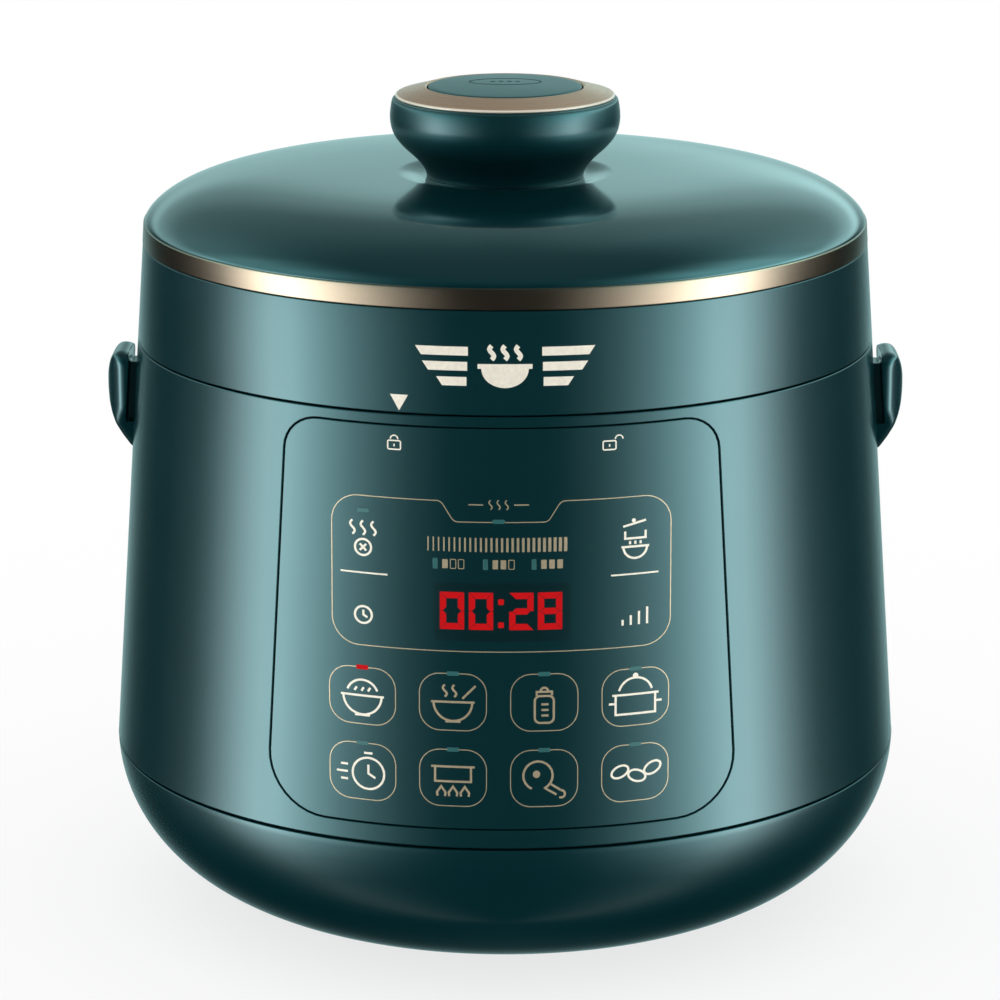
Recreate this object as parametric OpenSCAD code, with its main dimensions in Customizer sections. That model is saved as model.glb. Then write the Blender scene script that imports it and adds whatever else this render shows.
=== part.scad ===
// Small electric pressure cooker with a bayonet lid.
// Millimetres. Origin at the centre of the footprint on the table, +Z up, front towards -Y.

/* [Outer shell] */
// Widest diameter of the body, just above the lower seam
body_d = 232.4; // [231.6:0.2:233.4]
// Height of the widest point above the table
widest_z = 50; // [49.6:0.1:50.4]
// Inward lean of the body wall, in degrees
wall_lean = 4; // [3.8:0.05:4.1]
// Wall thickness of the plastic shells
shell_t = 2.4; // [2:0.1:2.6]
// Height of the seam between the lower bowl and the body
low_seam_z = 48.6; // [48.2:0.1:48.8]
// Height of the seam between the body and the lid
lid_seam_z = 169.5; // [169.3:0.1:169.7]
// Width of the open seams
seam_gap = 0.7; // [0.5:0.1:0.9]
// Radius of the flat underside of the bowl
base_flat_r = 62.2; // [61.9:0.1:62.6]

/* [Control panel] */
// Half width of the panel at its top edge
panel_top_w = 59.9; // [58:0.1:61]
// Half width of the panel at its bottom edge
panel_low_w = 64.8; // [63:0.1:66]
// Height of the panel's top edge
panel_top_z = 166.4; // [165.8:0.1:166.8]
// Height of the panel's bottom edge
panel_low_z = 54.4; // [54:0.1:57]
// Radius of the panel's upper corners
panel_top_r = 10; // [6:0.5:12]
// Radius of the panel's lower corners
panel_low_r = 16; // [12:0.5:20]

/* [Lid] */
// Height of the lower edge of the metal trim band
band_z = 198.2; // [197.6:0.1:198.6]
// Height of the metal trim band
band_h = 6; // [5.6:0.1:6.4]
// Height of the lid's crown above the trim band
crown_h = 13.1; // [12.9:0.1:13.3]
// How square the crown's shoulder is, in plan distance
crown_n = 7; // [6:0.25:8]
// How square the crown's shoulder is, in height
crown_m = 1.4; // [1.2:0.05:1.5]
// Number of bayonet lugs on the lid
lug_count = 6; // [5:1:6]

/* [Knob] */
// Widest radius of the knob
knob_r = 33.5; // [33.3:0.1:34]
// Radius of the knob's neck where it meets the lid
neck_r = 22.9; // [22.5:0.1:23.4]
// Outer radius of the vent button in the top of the knob
button_r = 22.4; // [22.2:0.05:22.45]
// Travel of the vent button
button_travel = 3; // [2.6:0.1:3]

/* [Pot] */
// Outside radius of the inner pot
pot_r = 76.5; // [76:0.1:77]
// Wall thickness of the inner pot
pot_t = 1.5; // [1.2:0.1:1.8]
// Height of the pot's underside
pot_low_z = 45; // [44.9:0.05:45.1]
// Height of the pot's rim
pot_top_z = 154; // [153.9:0.05:154.05]

/* [Ears] */
// Half width of the gap between an ear and the body
ear_gap = 2.4; // [2:0.1:2.6]
// Radius of an ear seen from above
ear_plan_r = 16; // [15:0.5:18]

/* [Hidden] */
$fn = 96;
eps = 0.01;
teal = [0.06, 0.24, 0.25];
gold = [0.80, 0.70, 0.58];
steel = [0.74, 0.75, 0.76];
alloy = [0.66, 0.67, 0.68];
black = [0.10, 0.10, 0.11];
board = [0.10, 0.32, 0.20];
silicone = [0.86, 0.86, 0.83];

// Radius of the outer wall at a height above the widest point
function wall_r(z) = body_d / 2 - (z - widest_z) * tan(wall_lean);
// A point at a distance and a heading round the vertical axis
function polar(r, a) = [r * cos(a), r * sin(a)];
// Points along a circular arc
function arc(cx, cy, r, a0, a1, n = 8) =
    [for (i = [0:n]) [cx + r * cos(a0 + (a1 - a0) * i / n), cy + r * sin(a0 + (a1 - a0) * i / n)]];

// Outer bowl: a quarter ellipse from the flat underside to the widest point
bowl_steps = 20;
foot_h = 2;
bowl_a0 = asin((widest_z - low_seam_z) / (widest_z - foot_h));
function bowl_arc(t) = [for (i = [0:bowl_steps])
    let (a = bowl_a0 + (90 - bowl_a0) * i / bowl_steps)
    [base_flat_r + (body_d / 2 - base_flat_r - t) * cos(a), widest_z - (widest_z - foot_h - t) * sin(a)]];

// Lid crown: a rounded plateau that rises from the trim band
band_top_z = band_z + band_h;
crown_r = wall_r(band_top_z) - 0.25;
crown_steps = 26;
function crown_z(r) = band_top_z + crown_h * pow(1 - pow(r / crown_r, crown_n), 1 / crown_m);
function crown_arc(t) = [for (i = [0:crown_steps])
    let (r = crown_r * sin(90 * i / crown_steps))
    [r * (crown_r - t) / crown_r, band_top_z + (crown_z(r) - band_top_z) * (crown_h - t) / crown_h]];
crown_top_z = band_top_z + crown_h;

// Heights inside, from the pot's support upwards
flange_z = pot_top_z - 1.7;
flange_t = 1.8;
tooth_z = pot_top_z + 6.5;
tooth_r = 90.9;
lug_r = 90.5;
lug_pitch = 360 / lug_count;
lug_z = pot_top_z + 1;
plate_z = pot_low_z - 0.1;
pan_z = 33;
pan_t = 1.2;
pan_r = 79;
disc_z = 165;
disc_t = 1.8;
liner_z = pot_top_z + 4.6;
lid_floor_z = lid_seam_z + seam_gap + 0.2;
lid_floor_t = 2;
board_z = 9;
tooth_half = 13.5;
lug_half = 13;
vent_y = 46;
pivot_y = 22;
pivot_z = 196;
float_x = 40;
float_y = 8;
rod_r = 2.5;
screen_z = 161;
pipe_top_z = 183;
rod_low_z = 197.8;
rod_top_z = 232.2;
skirt_z = 233.6;
knob_screw_r = 16;
lid_screw_r = 96;
lid_screw_headings = [20:60:320];
knob_z = crown_top_z + 0.05;
rim_z = 239.4;
button_z = 242.1;
stud_r = 3.9;
sensor_r = 9.5;
inlet_z = 72;

// A wedge that opens from the axis between two headings
module wedge(a0, a1, r, z0, z1) {
    steps = 6;
    translate([0, 0, z0])
        linear_extrude(z1 - z0)
            polygon(concat([[0, 0]], [for (i = [0:steps]) polar(r / cos(30), a0 + (a1 - a0) * i / steps)]));
}

// A ring of the leaning wall between two heights, from its outer face inwards by t
module wall_ring(z0, z1, t) {
    rotate_extrude()
        polygon([[wall_r(z0) - t, z0], [wall_r(z0), z0], [wall_r(z1), z1], [wall_r(z1) - t, z1]]);
}

// A square-section ring
module ring(r0, r1, z0, z1) {
    rotate_extrude()
        polygon([[r0, z0], [r1, z0], [r1, z1], [r0, z1]]);
}

// Outline of the panel seen from the front, drawn in by g on every side
module panel_outline(g) {
    wt = panel_top_w - g;
    wl = panel_low_w - g;
    zt = panel_top_z - g;
    zl = panel_low_z + g;
    rt = panel_top_r - g;
    rl = panel_low_r - g;
    lean = atan((wl - wt) / (zt - zl));
    polygon(concat(
        arc(wt - rt, zt - rt, rt, lean, 90),
        arc(rt - wt, zt - rt, rt, 90, 180 - lean),
        arc(rl - wl, zl + rl, rl, 180 - lean, 270),
        arc(wl - rl, zl + rl, rl, 270, 360 + lean)));
}

// The panel's outline pushed through the front wall
module panel_prism(g) {
    translate([0, -70, 0])
        rotate([90, 0, 0])
            linear_extrude(70)
                panel_outline(g);
}

// A screw that stands head down at height z over the point p, with its shank upwards
module screw(p, z, head_r, head_h, shank_r, length) {
    translate([p[0], p[1], z]) {
        cylinder(h = head_h, r = head_r);
        cylinder(h = length, r = shank_r);
    }
}

// A straight round bar between two points in a plane of constant x
module bar(x, p, q, r) {
    d = q - p;
    translate([x, p[0], p[1]])
        rotate([atan2(-d[0], d[1]), 0, 0])
            cylinder(h = norm(d), r = r);
}

// A coil spring as one swept tube: mean radius, wire radius, heights and turns
module coil(r, wire, z0, z1, turns) {
    sides = 6;
    steps = turns * 16;
    function ring_pt(i, j) =
        let (a = 360 * turns * i / steps, b = 360 * j / sides, rr = r + wire * cos(b))
        [rr * cos(a), rr * sin(a), z0 + wire + (z1 - z0 - 2 * wire) * i / steps + wire * sin(b)];
    polyhedron(
        points = [for (i = [0:steps]) for (j = [0:sides - 1]) ring_pt(i, j)],
        faces = concat(
            [[for (j = [0:sides - 1]) j]],
            [[for (j = [sides - 1:-1:0]) steps * sides + j]],
            [for (i = [0:steps - 1]) for (j = [0:sides - 1])
                let (k = (j + 1) % sides)
                [i * sides + j, (i + 1) * sides + j, (i + 1) * sides + k, i * sides + k]]));
}

// ---- base ----

pillar_r = 66;
pillar_headings = [30, 150, 270];
plate_t = 2.4;
plate_screw_r = 56;
plate_screw_headings = [0:90:270];
foot_ring_r = 50;
foot_headings = [45:90:315];
board_post_x = 38;
board_post_y = 24;

module base_bowl() {
    color(teal) {
        rotate_extrude()
            polygon(concat(bowl_arc(0), [for (i = [bowl_steps:-1:0]) bowl_arc(shell_t)[i]]));
        // Tongue that locates the body shell
        rotate_extrude()
            polygon([
                [wall_r(widest_z) - shell_t - 3.6, low_seam_z - 6],
                [wall_r(widest_z) - shell_t - 0.1, low_seam_z - 6],
                [wall_r(widest_z) - shell_t - 0.1, low_seam_z - 0.5],
                [wall_r(widest_z) - shell_t - 0.6, low_seam_z + 4],
                [wall_r(widest_z) - shell_t - 2.4, low_seam_z + 4],
                [wall_r(widest_z) - shell_t - 3.6, low_seam_z - 0.5]]);
        // Tabs that the bottom plate is screwed to
        for (a = plate_screw_headings)
            rotate([0, 0, a])
                difference() {
                    translate([plate_screw_r - 4, -5, foot_h + plate_t])
                        cube([13, 10, 3]);
                    translate([plate_screw_r, 0, foot_h])
                        cylinder(h = 8, r = 1.6);
                }
        // Pillars that carry the pressure shell
        for (a = pillar_headings)
            translate(concat(polar(pillar_r, a), [foot_h + 1]))
                difference() {
                    cylinder(h = pan_z - foot_h - 1, r = 4);
                    translate([0, 0, pan_z - foot_h - 13])
                        cylinder(h = 14, r = 1.3);
                }
    }
}

module body_shell() {
    top = lid_seam_z - seam_gap / 2;
    low = low_seam_z + seam_gap;
    color(teal)
        difference() {
            union() {
                wall_ring(low, top, shell_t);
                rotate_extrude()
                    polygon([
                        [wall_r(top) - shell_t - 1.9, top - 2],
                        [wall_r(top) - shell_t + 0.5, top - 2],
                        [wall_r(top) - shell_t + 0.5, top],
                        [wall_r(top) - shell_t - 1.9, top]]);
            }
            panel_prism(0);
            translate([-16, 100, inlet_z - 12])
                cube([32, 20, 24]);
            translate([-bay_w, 100, bay_low_z])
                cube([2 * bay_w, 20, bay_top_z - bay_low_z]);
            // Holes for the ear screws
            for (s = [-1, 1])
                translate([s * 100, 0, 150])
                    rotate([0, s * 90, 0])
                        cylinder(h = 20, r = 1.6);
        }
}

module control_panel() {
    color(teal)
        intersection() {
            wall_ring(panel_low_z - 5, panel_top_z + 2, shell_t);
            panel_prism(0.35);
        }
}

module touch_board() {
    color(board)
        difference() {
            translate([-44, -92, 60])
                cube([88, 1.6, 88]);
            for (x = [-40, 40])
                for (z = [64, 144])
                    translate([x, -93, z])
                        rotate([-90, 0, 0])
                            cylinder(h = 4, r = 1.6);
        }
}

module display_module() {
    color(black) {
        translate([-20, -100, 107])
            cube([40, 8, 18]);
        // Light bar above the digits
        translate([-21, -99, 131])
            cube([42, 7, 6]);
    }
}

module top_ring() {
    in_r = 97.4;
    out_r = 104.2;
    low = 156.2;
    color(black)
        difference() {
            union() {
                rotate_extrude()
                    polygon([
                        [in_r, low], [out_r, low], [out_r - 0.6, low + 10.6], [out_r - 2, low + 10.6],
                        [out_r - 1.6, low + 1.8], [in_r + 1.6, low + 1.8], [in_r + 1.6, low + 7.8],
                        [in_r, low + 7.8]]);
                // Spout that drains the channel into the condensate cup
                translate([0, spout_y, cup_top_z + 1.6])
                    cylinder(h = low - cup_top_z - 0.8, r = 2.6);
            }
            translate([0, spout_y, cup_top_z])
                cylinder(h = low - cup_top_z + 3, r = 1.4);
        }
}

module outer_pot() {
    round_r = 10;
    color(steel)
        difference() {
            rotate_extrude()
                polygon(concat(
                    [[20, pan_z]],
                    arc(pan_r - round_r, pan_z + pan_t + round_r, round_r + pan_t, -90, 0),
                    [[pan_r + pan_t, flange_z - flange_t], [pan_r, flange_z - flange_t]],
                    arc(pan_r - round_r, pan_z + pan_t + round_r, round_r, 0, -90),
                    [[20, pan_z + pan_t]]));
            for (a = pillar_headings)
                translate(concat(polar(pillar_r, a), [pan_z - 1]))
                    cylinder(h = 4, r = 1.8);
            for (x = [-8, 8])
                translate([x, 44, pan_z - 1])
                    cylinder(h = 4, r = 4);
        }
}

module bayonet_ring() {
    color(steel) {
        difference() {
            rotate_extrude()
                polygon([
                    [pan_r, flange_z - flange_t], [96.6, flange_z - flange_t], [96.6, tooth_z + 3.6],
                    [tooth_r, tooth_z + 3.6], [tooth_r, tooth_z], [94.4, tooth_z],
                    [94.4, flange_z], [pan_r, flange_z]]);
            // Gaps between the teeth, where the lugs drop in
            for (i = [0:lug_count - 1])
                intersection() {
                    ring(80, 94.4, tooth_z - 1, tooth_z + 5);
                    wedge(
                        i * lug_pitch + tooth_half, (i + 1) * lug_pitch - tooth_half,
                        100, tooth_z - 2, tooth_z + 6);
                }
        }
    }
}

module heating_plate() {
    color(alloy)
        difference() {
            union() {
                ring(12, 62, plate_z - 7, plate_z);
                for (a = [90, 210, 330])
                    translate(concat(polar(54, a), [pan_z + pan_t]))
                        cylinder(h = plate_z - 6 - pan_z - pan_t, r = 4);
            }
            rotate_extrude()
                translate([44, plate_z - 7])
                    circle(r = 3.7);
        }
}

module heating_element() {
    color(steel) {
        rotate_extrude()
            translate([44, plate_z - 7])
                circle(r = 3.4, $fn = 48);
        for (x = [-8, 8])
            translate([x, 44, 24])
                cylinder(h = plate_z - 7 - 24, r = 2);
    }
}

module sensor_bracket() {
    color(steel)
        rotate_extrude()
            polygon([
                [3.3, 24], [19.2, 24], [19.2, pan_z - 1.2], [26, pan_z - 1.2], [26, pan_z],
                [18, pan_z], [18, 25.2], [3.3, 25.2]]);
}

module temperature_sensor() {
    color(alloy)
        rotate_extrude()
            polygon([
                [0, 18.5], [2.9, 18.5], [2.9, 38.5], [sensor_r, 38.5],
                [sensor_r, plate_z - 0.8], [sensor_r - 0.8, plate_z], [0, plate_z]]);
}

module sensor_spring() {
    color(steel)
        coil(5.6, 0.5, 25.3, 38.4, 5);
}

module pressure_switch() {
    color(black) {
        translate([-52, -34, pan_z - 11])
            cube([16, 9, 10.9]);
        translate([-49, -29.5, pan_z - 13])
            cylinder(h = 2.1, r = 1.5);
    }
}

module thermal_fuse() {
    color(silicone)
        translate([24, -48, pan_z - 2.4])
            rotate([0, 90, 0])
                cylinder(h = 26, r = 2.2);
}

// Children at each of the four posts that carry the power board
module at_board_posts(z) {
    for (x = [-board_post_x, board_post_x])
        for (y = [-board_post_y, board_post_y])
            translate([x, y, z])
                children();
}

module power_board() {
    color(board)
        difference() {
            translate([-44, -30, board_z])
                cube([88, 60, 1.6]);
            at_board_posts(board_z - 1)
                cylinder(h = 4, r = 1.6);
        }
}

module power_components() {
    z = board_z + 1.6;
    color(black) {
        // Relay, transformer, driver and the wires' connector
        translate([-40, 2, z])
            cube([18, 17, 14]);
        translate([22, -20, z])
            cube([20, 13, 15]);
        translate([14, 8, z])
            cube([20, 11, 10]);
        translate([-10, 22, z])
            cube([20, 5, 5]);
    }
    color(steel) {
        for (x = [-34, -22])
            translate([x, -14, z])
                cylinder(h = 14, r = 5);
        translate([14, -20, z])
            cylinder(h = 8, r = 4);
    }
}

module bottom_plate() {
    color(black)
        difference() {
            union() {
                translate([0, 0, foot_h])
                    cylinder(h = plate_t, r = base_flat_r - 0.2);
                at_board_posts(foot_h)
                    cylinder(h = board_z - foot_h, r = 3.2);
            }
            at_board_posts(foot_h + plate_t)
                cylinder(h = board_z - foot_h - 2, r = 1.1);
            // Air slots
            for (y = [-12:4:12])
                translate([-18, y - 0.8, foot_h - 1])
                    cube([36, 1.6, 5]);
            for (a = foot_headings)
                translate(concat(polar(foot_ring_r, a), [foot_h - 1]))
                    cylinder(h = 5, r = 2.6);
            for (a = plate_screw_headings)
                translate(concat(polar(plate_screw_r, a), [foot_h - 1]))
                    cylinder(h = 5, r = 1.6);
        }
}

module chassis_screws() {
    color(steel)
        for (a = pillar_headings)
            translate(concat(polar(pillar_r, a), [0])) {
                translate([0, 0, pan_z + pan_t])
                    cylinder(h = 1.8, r = 3.4);
                translate([0, 0, pan_z - 8])
                    cylinder(h = 8 + pan_t, r = 1.3);
            }
}

module bottom_screws() {
    color(steel) {
        for (a = plate_screw_headings)
            screw(polar(plate_screw_r, a), foot_h - 0.9, 2.8, 0.9, 1.6, 5.8);
        at_board_posts(board_z - 4) {
            cylinder(h = 5.6, r = 1.1);
            translate([0, 0, 5.6])
                cylinder(h = 1.4, r = 2.6);
        }
    }
}

module rubber_feet() {
    color(black)
        for (a = foot_headings)
            translate(concat(polar(foot_ring_r, a), [0])) {
                cylinder(h = foot_h, r = 8);
                cylinder(h = foot_h + plate_t, r = 2.5);
                translate([0, 0, foot_h + plate_t])
                    cylinder(h = 1.4, r1 = 3.4, r2 = 2.2);
            }
}

inlet_pin_places = [[-7, -2], [0, 3], [7, -2]];

module inlet_housing() {
    color(black)
        difference() {
            intersection() {
                translate([-15.8, 96, inlet_z - 11.8])
                    cube([31.6, 22, 23.6]);
                cylinder(h = 2 * widest_z, r = wall_r(inlet_z) + 0.6);
            }
            translate([-12.2, 99, inlet_z - 8.2])
                cube([24.4, 22, 16.4]);
            for (p = inlet_pin_places)
                translate([p[0] - 1.25, 90, inlet_z + p[1] - 2.05])
                    cube([2.5, 20, 4.1]);
        }
}

module inlet_pins() {
    color(alloy)
        for (p = inlet_pin_places)
            translate([p[0] - 1.2, 90, inlet_z + p[1] - 2])
                cube([2.4, 20, 4]);
}

// Side profile of an ear: flat top, bulging outer edge, long taper into the wall
ear_profile = [
    [100, 134.8], [110.4, 135.2], [112.8, 139.2], [114.7, 143], [116, 145.8], [116.8, 148.6],
    [117.3, 152.3], [117.4, 155.4], [117.2, 158], [116.6, 160.8], [115.8, 163], [114.6, 164.4],
    [113.6, 164.8], [111.6, 164.8], [110.8, 164.3], [110.6, 163.6], [100, 163.6]];
ear_out_x = 117.4;
ear_slot_z = 144;
ear_web_z = 161;
ear_web_w = 4.5;
ear_w = 12;
ear_low_w = 5;

module ear() {
    difference() {
        intersection() {
            translate([0, 20, 0])
                rotate([90, 0, 0])
                    linear_extrude(40)
                        polygon(ear_profile);
            translate([ear_out_x - ear_plan_r, 0, 130])
                cylinder(h = 40, r = ear_plan_r);
            // Outline from the side: round shoulders and a tapered chin
            translate([100, 0, 0])
                rotate([90, 0, 90])
                    linear_extrude(20)
                        polygon(concat(
                            arc(ear_w - 4, 160.8, 4, 0, 90),
                            arc(4 - ear_w, 160.8, 4, 90, 180),
                            [[-ear_w, 148], [-ear_low_w, 134.6], [ear_low_w, 134.6], [ear_w, 148]]));
        }
        rotate_extrude()
            polygon([[80, 130], [wall_r(130), 130], [wall_r(170), 170], [80, 170]]);
        // Slot between the grip and the wall, on both sides of the web
        difference() {
            rotate_extrude()
                polygon([
                    [90, ear_slot_z], [wall_r(ear_slot_z) + ear_gap, ear_slot_z],
                    [wall_r(170) + ear_gap, 170], [90, 170]]);
            translate([90, -ear_web_w, 130])
                cube([30, 2 * ear_web_w, ear_web_z - 130]);
        }
        translate([100, 0, 150])
            rotate([0, 90, 0])
                cylinder(h = 14, r = 1.3);
    }
}

module ear_right() {
    color(teal)
        ear();
}

module ear_left() {
    color(teal)
        mirror([1, 0, 0])
            ear();
}

module ear_screws() {
    color(steel)
        for (s = [-1, 1])
            translate([s * (wall_r(150) - shell_t - 1.8), 0, 150])
                rotate([0, s * 90, 0]) {
                    cylinder(h = 1.4, r = 3.2);
                    cylinder(h = 9, r = 1.3);
                }
}

// The condensate bay is let into the back of the body
bay_w = 25.7;
bay_low_z = 107.8;
bay_top_z = 149.7;
bay_y = 96;
bay_t = 1.6;
cup_gap = 0.5;
cup_low_z = bay_low_z + bay_t + cup_gap;
cup_top_z = 146;
cup_t = 1.5;
spout_y = 100.8;

// A block at the back, from a plane of constant y out to the leaning wall
module rear_block(w, y0, z0, z1, out) {
    intersection() {
        translate([-w, y0, z0])
            cube([2 * w, 30, z1 - z0]);
        rotate_extrude()
            polygon([[0, z0], [wall_r(z0) + out, z0], [wall_r(z1) + out, z1], [0, z1]]);
    }
}

module cup_bay() {
    color(black)
        difference() {
            rear_block(bay_w, bay_y, bay_low_z, bay_top_z, 0);
            translate([-bay_w + bay_t, bay_y + bay_t, bay_low_z + bay_t])
                cube([2 * (bay_w - bay_t), 30, bay_top_z - bay_low_z - 2 * bay_t]);
            translate([0, spout_y, cup_top_z])
                cylinder(h = 10, r = 3.2);
        }
}

module condensate_cup() {
    w = bay_w - bay_t - cup_gap;
    y = bay_y + bay_t + cup_gap;
    out = 1.6;
    color([0.75, 0.80, 0.82])
        difference() {
            rear_block(w, y, cup_low_z, cup_top_z, out);
            rear_block(w - cup_t, y + cup_t, cup_low_z + cup_t, cup_top_z + 1, out - cup_t);
        }
}

module wiring() {
    color([0.75, 0.12, 0.10])
        for (x = [-7, 0, 7]) {
            bar(x, [93.6, 66], [89, 58], 1.2);
            bar(x, [89, 58.4], [84, 26], 1.2);
            bar(x, [84, 26.4], [27.6, 12.2], 1.2);
        }
}

module lid_switch() {
    color(black)
        rotate([0, 0, 235])
            translate([97, -6, 145])
                cube([5, 12, 6]);
}

// ---- pot ----

module inner_pot() {
    round_r = 14;
    lip_r = 84;
    color(steel)
        rotate_extrude()
            polygon(concat(
                [[0, pot_low_z]],
                arc(pot_r - round_r, pot_low_z + round_r, round_r, -90, 0, 10),
                [[pot_r, pot_top_z - 1.6], [lip_r - 0.4, pot_top_z - 1.6], [lip_r, pot_top_z - 1.2]],
                [[lip_r, pot_top_z - 0.4], [lip_r - 0.4, pot_top_z], [pot_r - pot_t + 0.8, pot_top_z]],
                [[pot_r - pot_t, pot_top_z - 0.8]],
                arc(pot_r - round_r, pot_low_z + round_r + 0.5, round_r - pot_t, 0, -90, 10),
                [[0, pot_low_z + 2]]));
}

// ---- liner: stays still on the pot while the lid turns ----

module liner_plate() {
    color(steel)
        difference() {
            ring(9, 82.2, liner_z, liner_z + 1.2);
            for (a = [0:30:330])
                translate(concat(polar(58, a), [liner_z - 1]))
                    cylinder(h = 4, r = 6);
            for (a = [15:60:315])
                translate(concat(polar(34, a), [liner_z - 1]))
                    cylinder(h = 4, r = 7);
        }
}

module sealing_ring() {
    z = pot_top_z + 0.15;
    color(silicone)
        rotate_extrude()
            polygon([
                [77.6, z], [84.6, z], [85.6, z + 1.4], [85.6, z + 6.3], [84.9, z + 6.6],
                [81.2, z + 6.6], [81.2, liner_z + 1.3], [82.3, liner_z + 1.3],
                [82.3, liner_z - 0.1], [79.6, liner_z - 0.1], [77.6, liner_z - 1.4]]);
}

module liner_grommet() {
    color(silicone)
        rotate_extrude()
            polygon([
                [stud_r + 0.35, liner_z - 1.6], [11, liner_z - 1.6], [11, liner_z - 0.05],
                [8.95, liner_z - 0.05], [8.95, liner_z + 1.25], [11, liner_z + 1.25],
                [11, liner_z + 2.4], [stud_r + 0.35, liner_z + 2.4]]);
}

// ---- lid ----

module dome_cover() {
    outer = crown_arc(0);
    inner = crown_arc(shell_t);
    color(teal)
        difference() {
            rotate_extrude()
                polygon(concat(outer, [for (i = [crown_steps:-1:0]) inner[i]]));
            translate([0, 0, crown_top_z - 10])
                cylinder(h = 20, r = 7);
            for (a = pillar_headings)
                translate(concat(polar(knob_screw_r, a), [crown_top_z - 10]))
                    cylinder(h = 20, r = 1.8);
            translate([0, vent_y + 2, crown_top_z - 12])
                cylinder(h = 20, r = 11.6);
        }
}

module trim_band() {
    color(gold)
        rotate_extrude()
            polygon([
                [wall_r(band_z) - 2.2, band_z], [wall_r(band_z) + 0.1, band_z],
                [wall_r(band_top_z) + 0.05, band_top_z], [wall_r(band_top_z) - 2.2, band_top_z]]);
}

module lid_skirt() {
    low = lid_seam_z + seam_gap / 2;
    color(teal) {
        wall_ring(low, band_z, 2.2);
        // Inner step that carries the band and the crown
        rotate_extrude()
            polygon([
                [wall_r(band_z) - 4.4, band_z - 6], [wall_r(band_z - 8) - 2, band_z - 8],
                [wall_r(band_z) - 2, band_z], [wall_r(band_z) - 2.4, band_z],
                [wall_r(band_top_z) - 2.4, band_top_z - 0.2],
                [wall_r(band_top_z) - 4.4, band_top_z - 0.2]]);
    }
}

module lid_underside() {
    in_r = 84.2;
    out_r = wall_r(lid_floor_z + lid_floor_t) - 2.4;
    color(black)
        difference() {
            union() {
                ring(in_r, out_r, lid_floor_z, lid_floor_z + lid_floor_t);
                ring(in_r, in_r + 3.2, disc_z + disc_t, lid_floor_z + eps);
            }
            for (a = lid_screw_headings)
                translate(concat(polar(lid_screw_r, a), [lid_floor_z - 1]))
                    cylinder(h = 6, r = 1.7);
        }
}

module inner_lid() {
    color(steel)
        difference() {
            union() {
                rotate_extrude()
                    polygon([
                        [0, disc_z], [80.5, disc_z], [80.5, pot_top_z + 7.1], [83.8, pot_top_z + 7.1],
                        [83.8, disc_z], [86.6, disc_z], [86.6, lug_z], [88.3, lug_z],
                        [88.3, disc_z + disc_t - 1.4], [86.9, disc_z + disc_t], [0, disc_z + disc_t]]);
                for (i = [0:lug_count - 1])
                    intersection() {
                        ring(87.5, lug_r, lug_z, lug_z + 4.6);
                        wedge(
                            i * lug_pitch - lug_half, i * lug_pitch + lug_half,
                            100, lug_z - 1, lug_z + 6);
                    }
                // Centre stud that holds the liner
                translate([0, 0, liner_z - 3])
                    cylinder(h = disc_z - liner_z + 3, r = stud_r);
                translate([0, 0, liner_z - 4.4])
                    cylinder(h = 2.2, r = 6);
            }
            translate([0, vent_y, disc_z - 1])
                cylinder(h = 4, r = 4.2);
            translate([float_x, float_y, disc_z - 1])
                cylinder(h = 4, r = 6.4);
            for (a = [0, 180])
                translate([8 * cos(a), pivot_y, disc_z - 1])
                    cylinder(h = 4, r = 1.3);
        }
}

// Outer outline of the knob from the neck up to its rim
knob_profile = [
    [neck_r, 217.35], [neck_r + 0.25, 218.2], [neck_r + 1.3, 219.2], [neck_r + 3, 220.6],
    [neck_r + 4.9, 222.2], [neck_r + 6.7, 223.7], [knob_r - 2.4, 225.2], [knob_r - 1.3, 226.6],
    [knob_r - 0.55, 228.2], [knob_r - 0.12, 230], [knob_r, 231.8], [knob_r - 0.12, 234],
    [knob_r - 0.45, 236.2], [knob_r - 0.95, 238.2], [knob_r - 1.35, rim_z - 0.3]];

module knob_body() {
    floor_z = knob_z + 4.6;
    color(teal)
        difference() {
            rotate_extrude()
                polygon(concat(
                    [[rod_r + 0.4, knob_z], [neck_r, knob_z]],
                    [for (p = knob_profile) if (p[1] > knob_z + 0.1) p],
                    [[knob_r - 5.2, rim_z - 0.3], [knob_r - 5.2, skirt_z - button_travel - 1.6]],
                    [[knob_r - 9, floor_z + 1]],
                    [[knob_r - 10.4, floor_z], [rod_r + 0.4, floor_z]]));
            for (a = pillar_headings)
                translate(concat(polar(knob_screw_r, a), [knob_z - 1]))
                    cylinder(h = 4.5, r = 1.3);
        }
}

module knob_ring() {
    color(gold)
        rotate_extrude()
            polygon([
                [button_r + 0.4, 235.5], [24.6, 235.5], [24.6, rim_z - 0.25], [knob_r - 1.7, rim_z - 0.25],
                [knob_r - 1.45, rim_z + 0.05], [knob_r - 1.6, rim_z + 0.45],
                [button_r + 0.8, button_z - 0.1], [button_r + 0.4, button_z - 0.3]]);
}

module knob_screws() {
    color(steel)
        for (a = pillar_headings)
            screw(polar(knob_screw_r, a), crown_top_z - shell_t - 1.8, 3, 1.7, 1.3, 6.6);
}

module vent_pipe() {
    low = disc_z + disc_t;
    color(steel)
        translate([0, vent_y, 0])
            rotate_extrude()
                polygon([
                    [1.6, screen_z + 1.6], [4.1, screen_z + 1.6], [4.1, low], [8, low], [8, low + 2],
                    [5, low + 2], [5, pipe_top_z - 1.4], [3.6, pipe_top_z], [1.6, pipe_top_z]]);
}

module debris_screen() {
    color(steel)
        translate([0, vent_y, 0])
            difference() {
                translate([0, 0, screen_z])
                    cylinder(h = disc_z - screen_z - 0.05, r = 9);
                translate([0, 0, screen_z + 1])
                    cylinder(h = 10, r = 8);
                for (x = [-6:3:6])
                    for (y = [-3, 0, 3])
                        translate([x, y, screen_z - 5])
                            cylinder(h = 10, r = 0.9);
            }
}

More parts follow.
